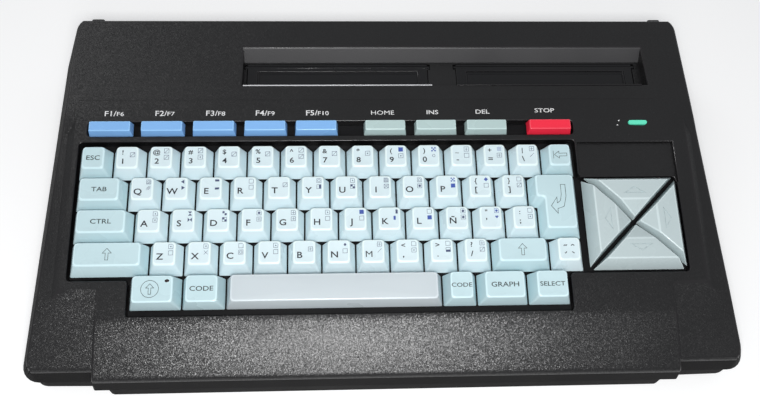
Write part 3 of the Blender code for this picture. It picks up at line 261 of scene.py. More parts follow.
# A duller, less reflective copy of the case finish for the lower shell: painted shade
shaded_base_skin = moulded("shaded_base_skin", (0.0050, 0.0048, 0.0052), 0.75, 0.0004, 0.00008, 0.25, 0.05, specular=0.12)
pad_skin = moulded("pad_skin", (0.52, 0.61, 0.62), 0.30, 0.0002, 0.00002, 0.03, 0.06, worn=0.04)
soft_ink = moulded("soft_ink", (0.035, 0.05, 0.05), 0.5, 0.0002, 0.000005, 0.2)
blue_ink = moulded("blue_ink", (0.05, 0.10, 0.40), 0.5, 0.0002, 0.000005, 0.2)
key_ink = moulded("key_ink", (0.016, 0.018, 0.026), 0.5, 0.0002, 0.000005, 0.2)
symbol_ink = moulded("symbol_ink", (0.06, 0.08, 0.17), 0.5, 0.0002, 0.000005, 0.2)
white_ink = moulded("white_ink", (0.78, 0.78, 0.78), 0.5, 0.0002, 0.000005, 0.05)

# Paler copies of the key finishes for keycap rims: painted highlights along the edges
highlight_rim_skins = {}
highlight_gain, highlight_lift, highlight_limit = 1.14, 0.05, 0.97


def highlight_rim_of(skin):
    """A paler, glossier copy of a key's finish for its rounded rim: a painted highlight along its edges, with
    a few worn patches.
    """
    if skin.name not in highlight_rim_skins:
        tone = [node for node in skin.node_tree.nodes if node.bl_idname == "ShaderNodeMix"][0].inputs
        middle = [(tone["A"].default_value[i] + tone["B"].default_value[i]) / 2 for i in range(3)]
        colour = [min(highlight_limit, c * highlight_gain + highlight_lift) for c in middle]
        highlight_rim_skins[skin.name] = moulded(skin.name + "_rim", colour, 0.22, 0.0002, 0.00001, 0.02, 0.05,
                                       worn=0.03)
    return highlight_rim_skins[skin.name]


node_skins = {
    "case_plastic": case_skin,
    "inner_plastic": inner_skin,
    "door_plastic": door_skin,
    "letter_plastic": letter_skin,
    "modifier_plastic": modifier_skin,
    "blue_plastic": blue_skin,
    "grey_green_plastic": grey_green_skin,
    "red_plastic": red_skin,
    "green_lens": lens_skin,
    "green_board": board_skin,
    "chip_black": chip_skin,
    "bare_steel": steel_skin,
    "sink_aluminium": sink_skin,
    "foot_rubber": foot_skin,
    "sheet_rubber": sheet_skin,
}
node_slots = {part["node"]: part["material_slot"] for part in frame["record"]["subparts"]}
for name, node in nodes.items():
    node.data.materials.clear()
    node.data.materials.append(node_skins[node_slots[name]])


# Shapes


def finish_mesh(piece):
    """Shade a piece smooth, but for its real corners."""
    for polygon in piece.data.polygons:
        polygon.use_smooth = True
    piece.data.set_sharp_from_angle(angle=sharp_corner)


def settle(piece):
    """Make what a piece's modifiers show its mesh."""
    bpy.context.view_layer.update()
    shown = bpy.data.meshes.new_from_object(piece.evaluated_get(bpy.context.evaluated_depsgraph_get()))
    piece.modifiers.clear()
    piece.data = shown


def add_piece(name, shape, skin, body, stands_for=(), place=keyboard):
    """Turn a bmesh into a smooth piece that rides on a body."""
    bmesh.ops.recalc_face_normals(shape, faces=shape.faces)
    mesh = bpy.data.meshes.new(name)
    shape.to_mesh(mesh)
    shape.free()
    mesh.transform(place)
    mesh.materials.append(skin)
    # A keycap's rim faces take a paler copy of its finish: a painted highlight
    if name.endswith(("_cap", "_caps")):
        mesh.materials.append(highlight_rim_of(skin))
    piece = bpy.data.objects.new(name, mesh)
    bpy.context.scene.collection.objects.link(piece)
    finish_mesh(piece)
    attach(piece, body)
    if stands_for:
        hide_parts(*stands_for)
    return piece


def rounded(points, radius):
    """An outline whose corners are arcs of one radius."""
    made = []
    for i, corner in enumerate(points):
        here = Vector(corner)
        before = (Vector(points[i - 1]) - here).normalized()
        after = (Vector(points[(i + 1) % len(points)]) - here).normalized()
        half = before.angle(after) / 2
        middle = here + (before + after).normalized() * (radius / math.sin(half))
        start = here + before * (radius / math.tan(half)) - middle
        end = here + after * (radius / math.tan(half)) - middle
        turn = start.angle_signed(end)
        for step in range(arc_steps + 1):
            spoke = start.copy()
            spoke.rotate(Matrix.Rotation(-turn * step / arc_steps, 2))
            made.append(tuple(middle + spoke))
    return made


def inset(points, distance):
    """An outline that runs inside another, given anticlockwise, at one distance."""
    made = []
    for i in range(len(points)):
        here = Vector(points[i])
        before = (here - Vector(points[i - 1])).normalized()
        after = (Vector(points[(i + 1) % len(points)]) - here).normalized()
        one, two = Vector((-before.y, before.x)), Vector((-after.y, after.x))
        made.append(tuple(here + (one + two) / (1 + one.dot(two)) * distance))
    return made


def counter(outline):
    """An outline turned to run anticlockwise."""
    area = sum(a[0] * b[1] - b[0] * a[1] for a, b in zip(outline, outline[1:] + outline[:1]))
    return outline if area > 0 else outline[::-1]


def rectangle(low_x, low_y, high_x, high_y):
    return [(low_x, low_y), (high_x, low_y), (high_x, high_y), (low_x, high_y)]


def blend(one, two, share):
    """An outline between two others."""
    return [tuple(Vector(a).lerp(Vector(b), share)) for a, b in zip(one, two)]


def add_stem(shape, x, y, middle, length):
    """Add the square stem under a key, from the height of its middle and its length."""
    size = Matrix.Diagonal((stem_width, stem_width, length, 1))
    bmesh.ops.create_cube(shape, size=1, matrix=Matrix.Translation((x, y, middle)) @ size)


# A dished top's rings: their share of the rim's size and of the dish's depth
dish_rings = [(1, 0), (0.86, 0.26), (0.66, 0.56), (0.42, 0.82), (0.18, 0.97), (0.05, 1)]


class Cap:
    """A keycap's outside: a foot and a top outline, its height, and how deep its top is dished."""

    def __init__(self, foot, top, height, dish=0.0, edge=0.0007, foot_height=0.0, corners=(0.0007, 0.0018)):
        self.foot, self.top, self.height = foot, top, height
        self.dish, self.edge, self.foot_height, self.corners = dish, edge, foot_height, corners
        rim = inset(top, edge)
        self.middle = Vector(((rim[0][0] + rim[2][0]) / 2, (rim[0][1] + rim[2][1]) / 2))
        self.half = Vector((abs(rim[2][0] - rim[0][0]) / 2, abs(rim[2][1] - rim[0][1]) / 2))

    def top_at(self, x, y):
        """The height of the dished top at a point, level along each ring about its middle."""
        share = min(1, max(abs(x - self.middle.x) / self.half.x, abs(y - self.middle.y) / self.half.y))
        for (outer, deep), (inner, deeper) in zip(dish_rings, dish_rings[1:]):
            if share >= inner:
                return self.height - self.dish * (deep + (deeper - deep) * (outer - share) / (outer - inner))
        return self.height - self.dish

    def build(self, shape, stem):
        """Add the cap to a bmesh, with its stem at a point."""
        wall_top = blend(self.foot, self.top, 1 - self.edge / self.height)
        rim = inset(self.top, self.edge)
        levels = [(self.foot, self.foot_height, self.corners[0])]
        for step in range(rim_steps + 1):
            share = step / rim_steps
            outline = blend(blend(wall_top, self.top, share), blend(self.top, rim, share), share)
            lift = self.edge * (1 - share) ** 2
            levels.append((outline, self.height - lift, self.corners[1]))
        rings = [[shape.verts.new((*point, z)) for point in rounded(outline, radius)]
                 for outline, z, radius in levels]
        if len(self.foot) == 4 and self.dish:
            outline = rounded(rim, self.corners[1])
            for share, deep in dish_rings[1:]:
                points = [self.middle.lerp(Vector(point), share) for point in outline]
                rings.append([shape.verts.new((*p, self.height - self.dish * deep)) for p in points])
        for level, (low, high) in enumerate(zip(rings, rings[1:])):
            for i in range(len(low)):
                j = (i + 1) % len(low)
                face = shape.faces.new((low[i], low[j], high[j], high[i]))
                # The rim's faces take the slot of the painted highlight
                face.material_index = highlight_rim_slot if 1 <= level <= rim_steps else 0
        shape.faces.new(rings[-1])
        shape.faces.new(reversed(rings[0]))
        add_stem(shape, *stem, -0.006, 0.0122)


def key_cap(left, right, row):
    """The cap of a key between two key units of a row; the front row is taller."""
    side_gap, row_gap, slope, dish = 0.00045, 0.0017, 0.0031, 0.00045
    height, depth, lean = (0.0116, 0.0147, 0.0004) if row == last_row else (0.0087, 0.0130, 0.0020)
    low_x, high_x = left * key_unit + side_gap, right * key_unit - side_gap
    middle = (last_row - row) * key_unit
    half = (key_unit - row_gap) / 2
    foot = rectangle(low_x, middle - half, high_x, middle + half)
    top = rectangle(low_x + slope, middle + lean - depth / 2, high_x - slope, middle + lean + depth / 2)
    return Cap(foot, top, height, dish=dish)


# Each key's row, left end and right end, in key units
single_keys = {
    "escape_key": (1, 0, 1),
    "backspace_key": (1, 14, 15),
    "tab_key": (2, 0, 1.5),
    "control_key": (3, 0, 1.75),
    "left_shift_key": (4, 0, 2.25),
    "right_shift_key": (4, 12.25, 14),
    "accents_key": (4, 14, 15),
    "caps_key": (5, 1.75, 3.25),
    "left_code_key": (5, 3.25, 4.5),
    "space_bar": (5, 4.5, 10.75),
    "right_code_key": (5, 10.75, 11.75),
    "graph_key": (5, 11.75, 13.25),
    "select_key": (5, 13.25, 14.5),
}
# Each row group's row, left end and number of keys
key_rows = {
    "number_row_keys": (1, 1, 13),
    "upper_letter_keys": (2, 1.5, 12),
    "home_letter_keys": (3, 1.75, 12),
    "lower_letter_keys": (4, 2.25, 10),
}
caps = {}


def make_main_keys():
    """Dished keycaps with soft edges for the main block."""
    for name, (row, left, right) in single_keys.items():
        cap = caps[name] = key_cap(left, right, row)
        skin, slot = modifier_skin, "modifier_plastic"
        if name == "space_bar":
            skin, slot = bar_skin, "letter_plastic"
            cap.dish = -0.0005
        if name == "accents_key":
            skin, slot = letter_skin, "letter_plastic"
        shape = bmesh.new()
        cap.build(shape, ((left + right) / 2 * key_unit, (last_row - row) * key_unit))
        add_piece(name + "_cap", shape, skin, name, [name])
    for name, (row, left, count) in key_rows.items():
        shape = bmesh.new()
        caps[name] = []
        for number in range(count):
            cap = key_cap(left + number, left + number + 1, row)
            caps[name].append(cap)
            cap.build(shape, ((left + number + 0.5) * key_unit, (last_row - row) * key_unit))
        add_piece(name + "_caps", shape, letter_skin, name, [name])


def make_return_key():
    """The L-shaped return key, one rounded form."""
    lower_left, upper_left, right = 13.75, 13.5, 15
    lower = key_cap(lower_left, right, 3)
    upper = key_cap(upper_left, right, 2)

    def corner_path(low, high):
        step_y = high[0][1]
        return [low[0], low[1], high[2], high[3], (high[0][0], step_y), (low[0][0], step_y)]

    cap = Cap(corner_path(lower.foot, upper.foot), corner_path(lower.top, upper.top), lower.height)
    shape = bmesh.new()
    cap.build(shape, ((lower_left + right) / 2 * key_unit, (last_row - 2.5) * key_unit))
    add_piece("return_key_cap", shape, modifier_skin, "return_key", ["return_key"])
    caps["return_key"] = cap


def make_function_keys():
    """The bar-shaped keys behind the keyboard."""
    y, foot_depth, height, slope, lean = 0.0992, 0.0082, 0.005, 0.0009, 0.0003
    first, pitch = 0.0161, 0.0298
    top_depth = foot_depth * 0.74
    # Each key's middle, width, finish and slot
    places = {f"function_key_{n + 1}": (first + pitch * n, 0.0252, blue_skin, "blue_plastic")
              for n in range(5)}
    for name, x in (("home_key", 0.1757), ("insert_key", 0.2057), ("delete_key", 0.2357)):
        places[name] = (x, 0.0250, grey_green_skin, "grey_green_plastic")
    places["stop_key"] = (0.2735, 0.0262, red_skin, "red_plastic")
    for name, (x, width, skin, slot) in places.items():
        foot = rectangle(x - width / 2, y - foot_depth / 2, x + width / 2, y + foot_depth / 2)
        side = width / 2 - slope
        top = rectangle(x - side, y + lean - top_depth / 2, x + side, y + lean + top_depth / 2)
        cap = Cap(foot, top, height, dish=0.0001, edge=0.0005, foot_height=-0.001, corners=(0.0005, 0.0006))
        shape = bmesh.new()
        cap.build(shape, (x, y))
        add_piece(name + "_cap", shape, skin, name, [name])


def hull_piece(points, edge):
    """A convex form through points, its edges rounded, as a bmesh."""
    shape = bmesh.new()
    verts = [shape.verts.new(point) for point in points]
    bmesh.ops.convex_hull(shape, input=verts)
    bmesh.ops.dissolve_limit(shape, angle_limit=math.radians(2), verts=shape.verts, edges=shape.edges)
    made = bmesh.ops.bevel(shape, geom=list(shape.edges), offset=edge, offset_type="OFFSET", segments=3,
                           profile=0.6, affect="EDGES", clamp_overlap=True)
    # Rounded edges take the slot of a keycap's painted highlight
    for face in made["faces"]:
        face.material_index = highlight_rim_slot
    return shape


def carve(piece, cutter):
    """Cut one closed mesh out of a piece for good, with the solver whose mesh is the same in each run."""
    mesh = bpy.data.meshes.new("cutter")
    bmesh.ops.recalc_face_normals(cutter, faces=cutter.faces)
    cutter.to_mesh(mesh)
    cutter.free()
    mesh.transform(keyboard)
    tool = bpy.data.objects.new("cutter", mesh)
    bpy.context.scene.collection.objects.link(tool)
    cut = piece.modifiers.new("cut", "BOOLEAN")
    cut.operation = "DIFFERENCE"
    cut.solver = "MANIFOLD"
    cut.object = tool
    settle(piece)
    bpy.data.objects.remove(tool)


def prism_band(outline, width, low, high):
    """A closed groove cutter along an outline."""
    shape = bmesh.new()
    outer, inner = inset(outline, -width / 2), inset(outline, width / 2)
    rings = [[shape.verts.new((*point, z)) for point in ring]
             for ring, z in ((outer, low), (outer, high), (inner, high), (inner, low))]
    for one, two in zip(rings, rings[1:] + rings[:1]):
        for i in range(len(outline)):
            j = (i + 1) % len(outline)
            shape.faces.new((one[i], one[j], two[j], two[i]))
    return shape


def make_cursor_keys():
    """The pad's four keys: a flat outer band with a sunk arrow, and a facet that falls to the middle."""
    middle = Vector((0.3172, 0.0385))
    edge, skirt, height, centre_height = 0.028, 0.0045, 0.0095, 0.005
    groove, flare = 0.002, 0.13
    rim = edge - skirt
    crease = rim / 2
    cut_width, cut_depth, cut_over = 0.00045, 0.0004, 0.001

    def gap(z):
        return (groove / 2 + flare * z) * math.sqrt(2)

    for name, ahead in (("cursor_up_key", (0, 1)), ("cursor_down_key", (0, -1)),
                        ("cursor_left_key", (-1, 0)), ("cursor_right_key", (1, 0))):
        ahead = Vector(ahead)
        across = Vector((-ahead.y, ahead.x))

        def at(out, aside):
            return tuple(middle + ahead * out + across * aside)

        points = []
        for out, z in ((edge, 0), (rim, height), (crease, height)):
            points += [(*at(out, out - gap(z)), z), (*at(out, gap(z) - out), z)]
        for z in (0, centre_height):
            points.append((*at(gap(z), 0), z))
        shape = hull_piece(points, 0.0006)
        add_stem(shape, *at(0.0165, 0), -0.0045, 0.0112)
        key = add_piece(name + "_cap", shape, pad_skin, name, [name])
        arrow = [at(0.0154, -0.0058), at(0.0154, 0.0058), at(0.0190, 0)]
        carve(key, prism_band(counter(arrow), cut_width, height - cut_depth, height + cut_over))
        finish_mesh(key)


def exposed(edge, tree):
    """Whether open air lies over a convex edge."""
    clear = 0.0004
    middle = (edge.verts[0].co + edge.verts[1].co) / 2
    normal = (edge.link_faces[0].normal + edge.link_faces[1].normal).normalized()
    return tree.ray_cast(middle + normal * clear, normal)[0] is None


def in_key_area(edge):
    """Whether an edge belongs to the openings of the keyboard, whose ribs are narrow."""
    return all(-0.006 < point.x < 0.352 and -0.015 < point.y < 0.107
               for point in (keyboard.inverted() @ vertex.co for vertex in edge.verts))


def thin(face):
    """Whether a face is a sliver."""
    return face.calc_area() < 0.00025 * max(edge.calc_length() for edge in face.edges)


def tucked_away(edge, name):
    """Whether an edge of a shell lies out of sight or beside a face too narrow to soften it."""
    x, y, z = (edge.verts[0].co + edge.verts[1].co) / 2
    upward = sum(face.normal.z for face in edge.link_faces)
    if name == "upper_case":
        in_recess = -0.087 < x < 0.164 and 0.058 < y < 0.0845 and z < 0.0545
        at_ports = y > 0.106 and z < 0.0345
        return upward < -0.3 or in_recess or at_ports
    if name == "lower_case":
        at_rim = abs(x) > 0.19 or y < -0.098
        return upward > 0.3 or z > 0.021 or not at_rim or y > 0.105
    at_hinge = y > 0.0768
    return at_hinge


def even_out(piece):
    """Keep a shell's flats flat beside its rounded edges, and each crease between two flats sharp."""
    least_crease = math.radians(6)
    shape = bmesh.new()
    shape.from_mesh(piece.data)
    for edge in shape.edges:
        if edge.is_manifold and edge.calc_face_angle() > least_crease:
            if all(face.material_index != edge_highlight_slot for face in edge.link_faces):
                edge.smooth = False
    shape.to_mesh(piece.data)
    shape.free()
    even = piece.modifiers.new("even", "WEIGHTED_NORMAL")
    even.keep_sharp = True
    settle(piece)


def crown_palm(shape):
    """Lift the palm rest's broad face into a slight crown between its rear and front edges."""
    back = keyboard.inverted()
    rear, front, lift, strips = -0.0125, -0.04285, 0.0009, 8
    palm = [face for face in shape.faces
            if all(front - 0.0001 < (back @ vertex.co).y < rear + 0.0001 for vertex in face.verts)
            and face.normal.z > 0.9 and face.calc_area() > 0.005]
    along = keyboard.to_3x3() @ Vector((0, 1, 0))
    for step in range(1, strips):
        cut = keyboard @ Vector((0, rear + (front - rear) * step / strips, 0))
        geometry = dict.fromkeys(part for face in palm for part in (face, *face.edges, *face.verts))
        made = bmesh.ops.bisect_plane(shape, geom=list(geometry), dist=0.000001,
                                      plane_co=cut, plane_no=along)
        palm = [part for part in made["geom"] if isinstance(part, bmesh.types.BMFace)]
    for vertex in dict.fromkeys(vertex for face in palm for vertex in face.verts):
        share = (rear - (back @ vertex.co).y) / (rear - front)
        vertex.co.z += lift * math.sin(math.pi * min(1, max(0, share)))


def make_shells():
    """The two shells and the doors with their outer edges softened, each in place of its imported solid."""
    weld, level, speck = 0.000005, math.radians(0.8), 0.0001
    least_corner, least_length = math.radians(18), 0.0006
    for name, width, inner_width, skin, slot, body in (
        ("upper_case", 0.0012, 0.0006, case_skin, "case_plastic", "case"),
        ("lower_case", 0.0008, 0.0008, shaded_base_skin, "inner_plastic", "case"),
        ("cartridge_door_1", 0.0003, 0.0003, door_skin, "door_plastic", "cartridge_door_1"),
        ("cartridge_door_2", 0.0003, 0.0003, door_skin, "door_plastic", "cartridge_door_2"),
    ):
        shape = bmesh.new()
        shape.from_mesh(nodes[name].data)
        bmesh.ops.remove_doubles(shape, verts=shape.verts, dist=weld)
        bmesh.ops.dissolve_limit(shape, angle_limit=level, verts=shape.verts, edges=shape.edges)
        bmesh.ops.dissolve_degenerate(shape, edges=shape.edges, dist=speck)
        shape.normal_update()
        if name == "upper_case":
            crown_palm(shape)
            shape.normal_update()
        tree = BVHTree.FromBMesh(shape)
        edges = [edge for edge in shape.edges if edge.is_manifold and edge.is_convex
                 and edge.calc_face_angle() > least_corner and exposed(edge, tree)
                 and edge.calc_length() > least_length and not any(thin(face) for face in edge.link_faces)
                 and not tucked_away(edge, name)]
        inner = [edge for edge in edges if in_key_area(edge)]
        outer = [edge for edge in edges if edge not in inner]
        for chosen, offset in ((outer, width), (inner, inner_width)):
            left = [edge for edge in chosen if edge.is_valid]
            made = bmesh.ops.bevel(shape, geom=left, offset=offset, segments=3, offset_type="OFFSET",
                                   profile=0.5, affect="EDGES", miter_outer="ARC")
            # The rounded edges take the paler finish: a painted highlight
            for face in made["faces"]:
                face.material_index = edge_highlight_slot
        piece = add_piece(name + "_shell", shape, skin, body, [name], place=in_world)
        # Extra finishes for the shaded walls, the lit recess wall and the edges: painted shade and painted
        # highlights
        for extra in (shaded_side_skin, recess_highlight_skin, edge_highlight_skin):
            piece.data.materials.append(extra)
        even_out(piece)
        # Upright walls take the duller copy of the finish: painted shade
        for face in piece.data.polygons:
            x, y, z = face.center
            upright = abs(face.normal.z) < 0.35 and (z < 0.037 or y > 0.105)
            outer_side = abs(face.normal.x) > 0.8 and abs(x) > 0.185
            if "door" not in name and (upright or outer_side):
                face.material_index = shaded_side_slot
            # The recess's rear wall takes the lighter finish: a painted highlight
            recess_wall = -0.086 < x < 0.164 and 0.083 < y < 0.092 and z > 0.0545 and face.normal.y < -0.5
            if name == "upper_case" and recess_wall:
                face.material_index = recess_highlight_slot


# Printed legends


ink_lift = 0.00006
sign_line = 0.0002
glyph_store = {}
# Each sign's filled outlines and its strokes, within a square from -1 to 1
square = [(-1, -1), (1, -1), (1, 1), (-1, 1)]
sign_fills = {
    "s": [square],
    "l": [[(-1, -1), (0, -1), (0, 1), (-1, 1)]],
    "r": [[(0, -1), (1, -1), (1, 1), (0, 1)]],
    "t": [[(-1, 0), (1, 0), (1, 1), (-1, 1)]],
    "b": [[(-1, -1), (1, -1), (1, 0), (-1, 0)]],
    "q": [[(-1, 0), (0, 0), (0, 1), (-1, 1)], [(0, -1), (1, -1), (1, 0), (0, 0)]],
    "h": [[(-1, -1), (1, -1), (0, 0)], [(1, 1), (-1, 1), (0, 0)]],
    "w": [[(-1, 1), (-1, -1), (0, 0)], [(1, -1), (1, 1), (0, 0)]],
    "<": [[(-1, 0), (0.6, -1), (0.6, 1)]],
    ">": [[(-0.6, -1), (1, 0), (-0.6, 1)]],
    "D": [[(-1, 0), (0, -1), (1, 0), (0, 1)]],
    "v": [[(0, -0.8), (0.8, 0.2), (0.4, 0.7), (0, 0.3), (-0.4, 0.7), (-0.8, 0.2)]],
    "c": [[(x, y), (x + 0.66, y), (x + 0.66, y + 0.66), (x, y + 0.66)]
          for x, y in ((-1, -1), (0.34, -1), (-0.33, -0.33), (-1, 0.34), (0.34, 0.34))],
}
sign_strokes = {
    "+": [((-0.7, 0), (0.7, 0)), ((0, -0.7), (0, 0.7))],
    "/": [((-0.9, -0.9), (0.9, 0.9))],
    "X": [((-0.9, -0.9), (0.9, 0.9)), ((-0.9, 0.9), (0.9, -0.9))],
    "=": [((-0.9, y), (0.9, y)) for y in (-0.7, -0.23, 0.23, 0.7)],
    "#": [((-0.9, -0.2), (0.2, 0.9)), ((-0.9, -0.9), (0.9, 0.9)), ((-0.2, -0.9), (0.9, 0.2))],
}


class Flat:
    """A level surface of the keyboard plane, to print on."""

    def __init__(self, height):
        self.height = height

    def top_at(self, *_):
        return self.height


class Print:
    """Printed marks that follow the surface under them."""

    def __init__(self, surface, shape=None):
        self.surface = surface
        self.shape = shape or bmesh.new()

    def fill(self, outline):
        """A filled outline."""
        verts = [self.shape.verts.new((x, y, self.surface.top_at(x, y) + ink_lift)) for x, y in outline]
        self.shape.faces.new(verts)

    def band(self, outline, width):
        """A line along a closed outline."""
        outline = counter(outline)
        outer, inner = inset(outline, -width / 2), inset(outline, width / 2)
        for i in range(len(outline)):
            j = (i + 1) % len(outline)
            self.fill([outer[i], outer[j], inner[j], inner[i]])

    def line(self, start, end, width):
        """A straight stroke."""
        along = (Vector(end) - Vector(start)).normalized() * width / 2
        side = Vector((-along.y, along.x))
        self.fill([tuple(Vector(point) + side * turn) for point, turn in
                   ((end, 1), (start, 1), (start, -1), (end, -1))])

    def disc(self, x, y, radius, ring=0.0, sides=20):
        """A round dot, or a ring of one width."""
        turns = [math.tau * i / sides for i in range(sides)]
        points = [(x + radius * math.cos(turn), y + radius * math.sin(turn)) for turn in turns]
        if ring:
            self.band(points, ring)
        else:
            self.fill(points)

    def text(self, words, x, y, height, stretch=1.15):
        """Lettering centred on a point, its capitals of one height."""
        points, faces = glyphs(words)
        verts = []
        for across, up in points:
            place = (x + across * height * stretch, y + (up - 0.5) * height)
            verts.append(self.shape.verts.new((*place, self.surface.top_at(*place) + ink_lift)))
        for face in faces:
            self.shape.faces.new([verts[i] for i in face])

    def sign(self, kind, x, y, size):
        """A small graphic sign, one letter for each of its strokes."""
        half = size / 2
        for letter in kind:
            if letter == "f":
                self.band([(x + a * half, y + b * half) for a, b in square], sign_line)
            elif letter == "o":
                self.disc(x, y, half * 0.6, sign_line, 12)
            elif letter in "O.":
                self.disc(x, y, half * (0.6 if letter == "O" else 0.3), sides=12)
            for outline in sign_fills.get(letter, ()):
                self.fill([(x + a * half, y + b * half) for a, b in outline])
            for start, end in sign_strokes.get(letter, ()):
                ends = [(x + a * half, y + b * half) for a, b in (start, end)]
                self.line(*ends, sign_line)

    def arrow(self, points, place, size, width):
        """An outlined arrow, its points given as shares of its size about a place."""
        self.band([(place[0] + a * size[0], place[1] + b * size[1]) for a, b in points], width)


def glyphs(words):
    """A text's flat outline, filled: points, with a capital's height as one, and faces."""
    if words not in glyph_store:
        curve = bpy.data.curves.new("glyphs", "FONT")
        curve.body = words
        curve.resolution_u = 3
        # Bolder strokes, but none for an M, whose middle would cross itself
        curve.offset = 0 if "M" in words else 0.008 if len(words) > 1 else 0.015
        source = bpy.data.objects.new("glyphs", curve)
        mesh = bpy.data.meshes.new_from_object(source)
        points = [(vertex.co.x, vertex.co.y) for vertex in mesh.vertices]
        faces = [tuple(polygon.vertices) for polygon in mesh.polygons]
        bpy.data.objects.remove(source)
        low, high = min(p[0] for p in points), max(p[0] for p in points)
        tall = glyph_store.setdefault("capital", max(p[1] for p in points))
        glyph_store[words] = ([((x - (low + high) / 2) / tall, y / tall) for x, y in points], faces)
    return glyph_store[words]


glyphs("H")  # the first text sets a capital's height
up_arrow = [(-0.16, -0.5), (0.16, -0.5), (0.16, 0.1), (0.5, 0.1), (0, 0.5), (-0.5, 0.1), (-0.16, 0.1)]
left_arrow = [(-0.5, 0), (-0.12, -0.5), (-0.12, -0.2), (0.5, -0.2), (0.5, 0.2), (-0.12, 0.2), (-0.12, 0.5)]
# Each key's two characters and its signs
number_legends = [
    ("1", "!", "f/", ""), ("2", "@", "f/", "f/"), ("3", "#", "f/", "f."), ("4", "$", "f/", ""),
    ("5", "%", "f/", ""), ("6", "^", "f/", "f/"), ("7", "&", "f/", ""), ("8", "*", "f.", ""),
    ("9", "(", "Bs", "f."), ("0", ")", "Bc", "o"), ("-", "_", "f+", "f"), ("=", "+", "B=", "f+"),
    ("\\", "|", "f+", "/"),
]
letter_legends = {
    "upper_letter_keys": [
        ("Q", "f#", "#"), ("W", "<", ">"), ("E", "t", "b"), ("R", "f", "f"), ("T", "f/", ""),
        ("Y", "fo", "fr"), ("U", "f.", "fq"), ("I", "f=", "fX"), ("O", "fo", "fO"), ("P", "Bc", "Bs"),
        ("[", "BD", "f", "{"), ("]", "f", "f/", "}"),
    ],
    "home_letter_keys": [
        ("A", "f.", "f."), ("S", "h", "w"), ("D", "q", "fq"), ("F", "fO", "f+"), ("G", "f+", "f+"),
        ("H", "f.", "f"), ("J", "Bs", "f"), ("K", "r", "Bl"), ("L", "f", "Bs"), ("Ñ", "fO", "fO"),
        ("'", "BfO", "Bv", '"'), (";", "f", "f.", ":"),
    ],
    "lower_letter_keys": [
        ("Z", "f.", "f"), ("X", "f.", "X"), ("C", "f", "fo"), ("V", "f.", "f"), ("B", "f+", ""),
        ("N", "O", "f"), ("M", "f+", "/"), (",", "f", "f.", "<"), (".", "f", "fb", ">"),
        ("/", "f+", "f/", "?"),
    ],
}
word_legends = {
    "escape_key": ("ESC", 0.0027), "tab_key": ("TAB", 0.0026), "control_key": ("CTRL", 0.0027),
    "left_code_key": ("CODE", 0.0026), "right_code_key": ("CODE", 0.0023), "graph_key": ("GRAPH", 0.0027),
    "select_key": ("SELECT", 0.0024),
}


def spot(cap, across, up):
    """A point of a keycap's top, as shares of its width and depth."""
    left, front = cap.top[0]
    right, rear = cap.top[2]
    return left + (right - left) * across, front + (rear - front) * up


def print_row(name, legends, number_row):
    """The lettering and the small signs of a row of keycaps, in two or three inks."""
    marks = {"ink": bmesh.new(), "signs": bmesh.new(), "blue_signs": bmesh.new()}
    lone_height = 0.62
    for cap, legend in zip(caps[name], legends):
        ink = Print(cap, marks["ink"])
        if number_row:
            digit, shifted, *signs = legend
            ink.text(digit, *spot(cap, 0.30, 0.32), 0.0032)
            ink.text(shifted, *spot(cap, 0.28, 0.74), 0.0026)
            sign_size, places = 0.0026, [(0.74, 0.79), (0.74, 0.49)]
        else:
            letter, *signs = legend
            if len(legend) == 4:
                signs = signs[:2]
                ink.text(letter, *spot(cap, 0.30, 0.34), 0.0031)
                ink.text(legend[3], *spot(cap, 0.30, 0.74), 0.0027)
            else:
                ink.text(letter, *spot(cap, 0.30, 0.37), 0.0035)
            sign_size, places = 0.0024, [(0.79, 0.80), (0.79, 0.52)]
        if not signs[1]:
            places = [(places[0][0], lone_height)]
        for kind, place in zip(signs, places):
            blue = kind.startswith("B")
            sheet = Print(cap, marks["blue_signs" if blue else "signs"])
            sheet.sign(kind.lstrip("B"), *spot(cap, *place), sign_size)
    for kind, shape in marks.items():
        skin = {"ink": key_ink, "signs": symbol_ink, "blue_signs": blue_ink}[kind]
        if shape.faces:
            add_piece(f"{name}_{kind}", shape, skin, name)
        else:
            shape.free()


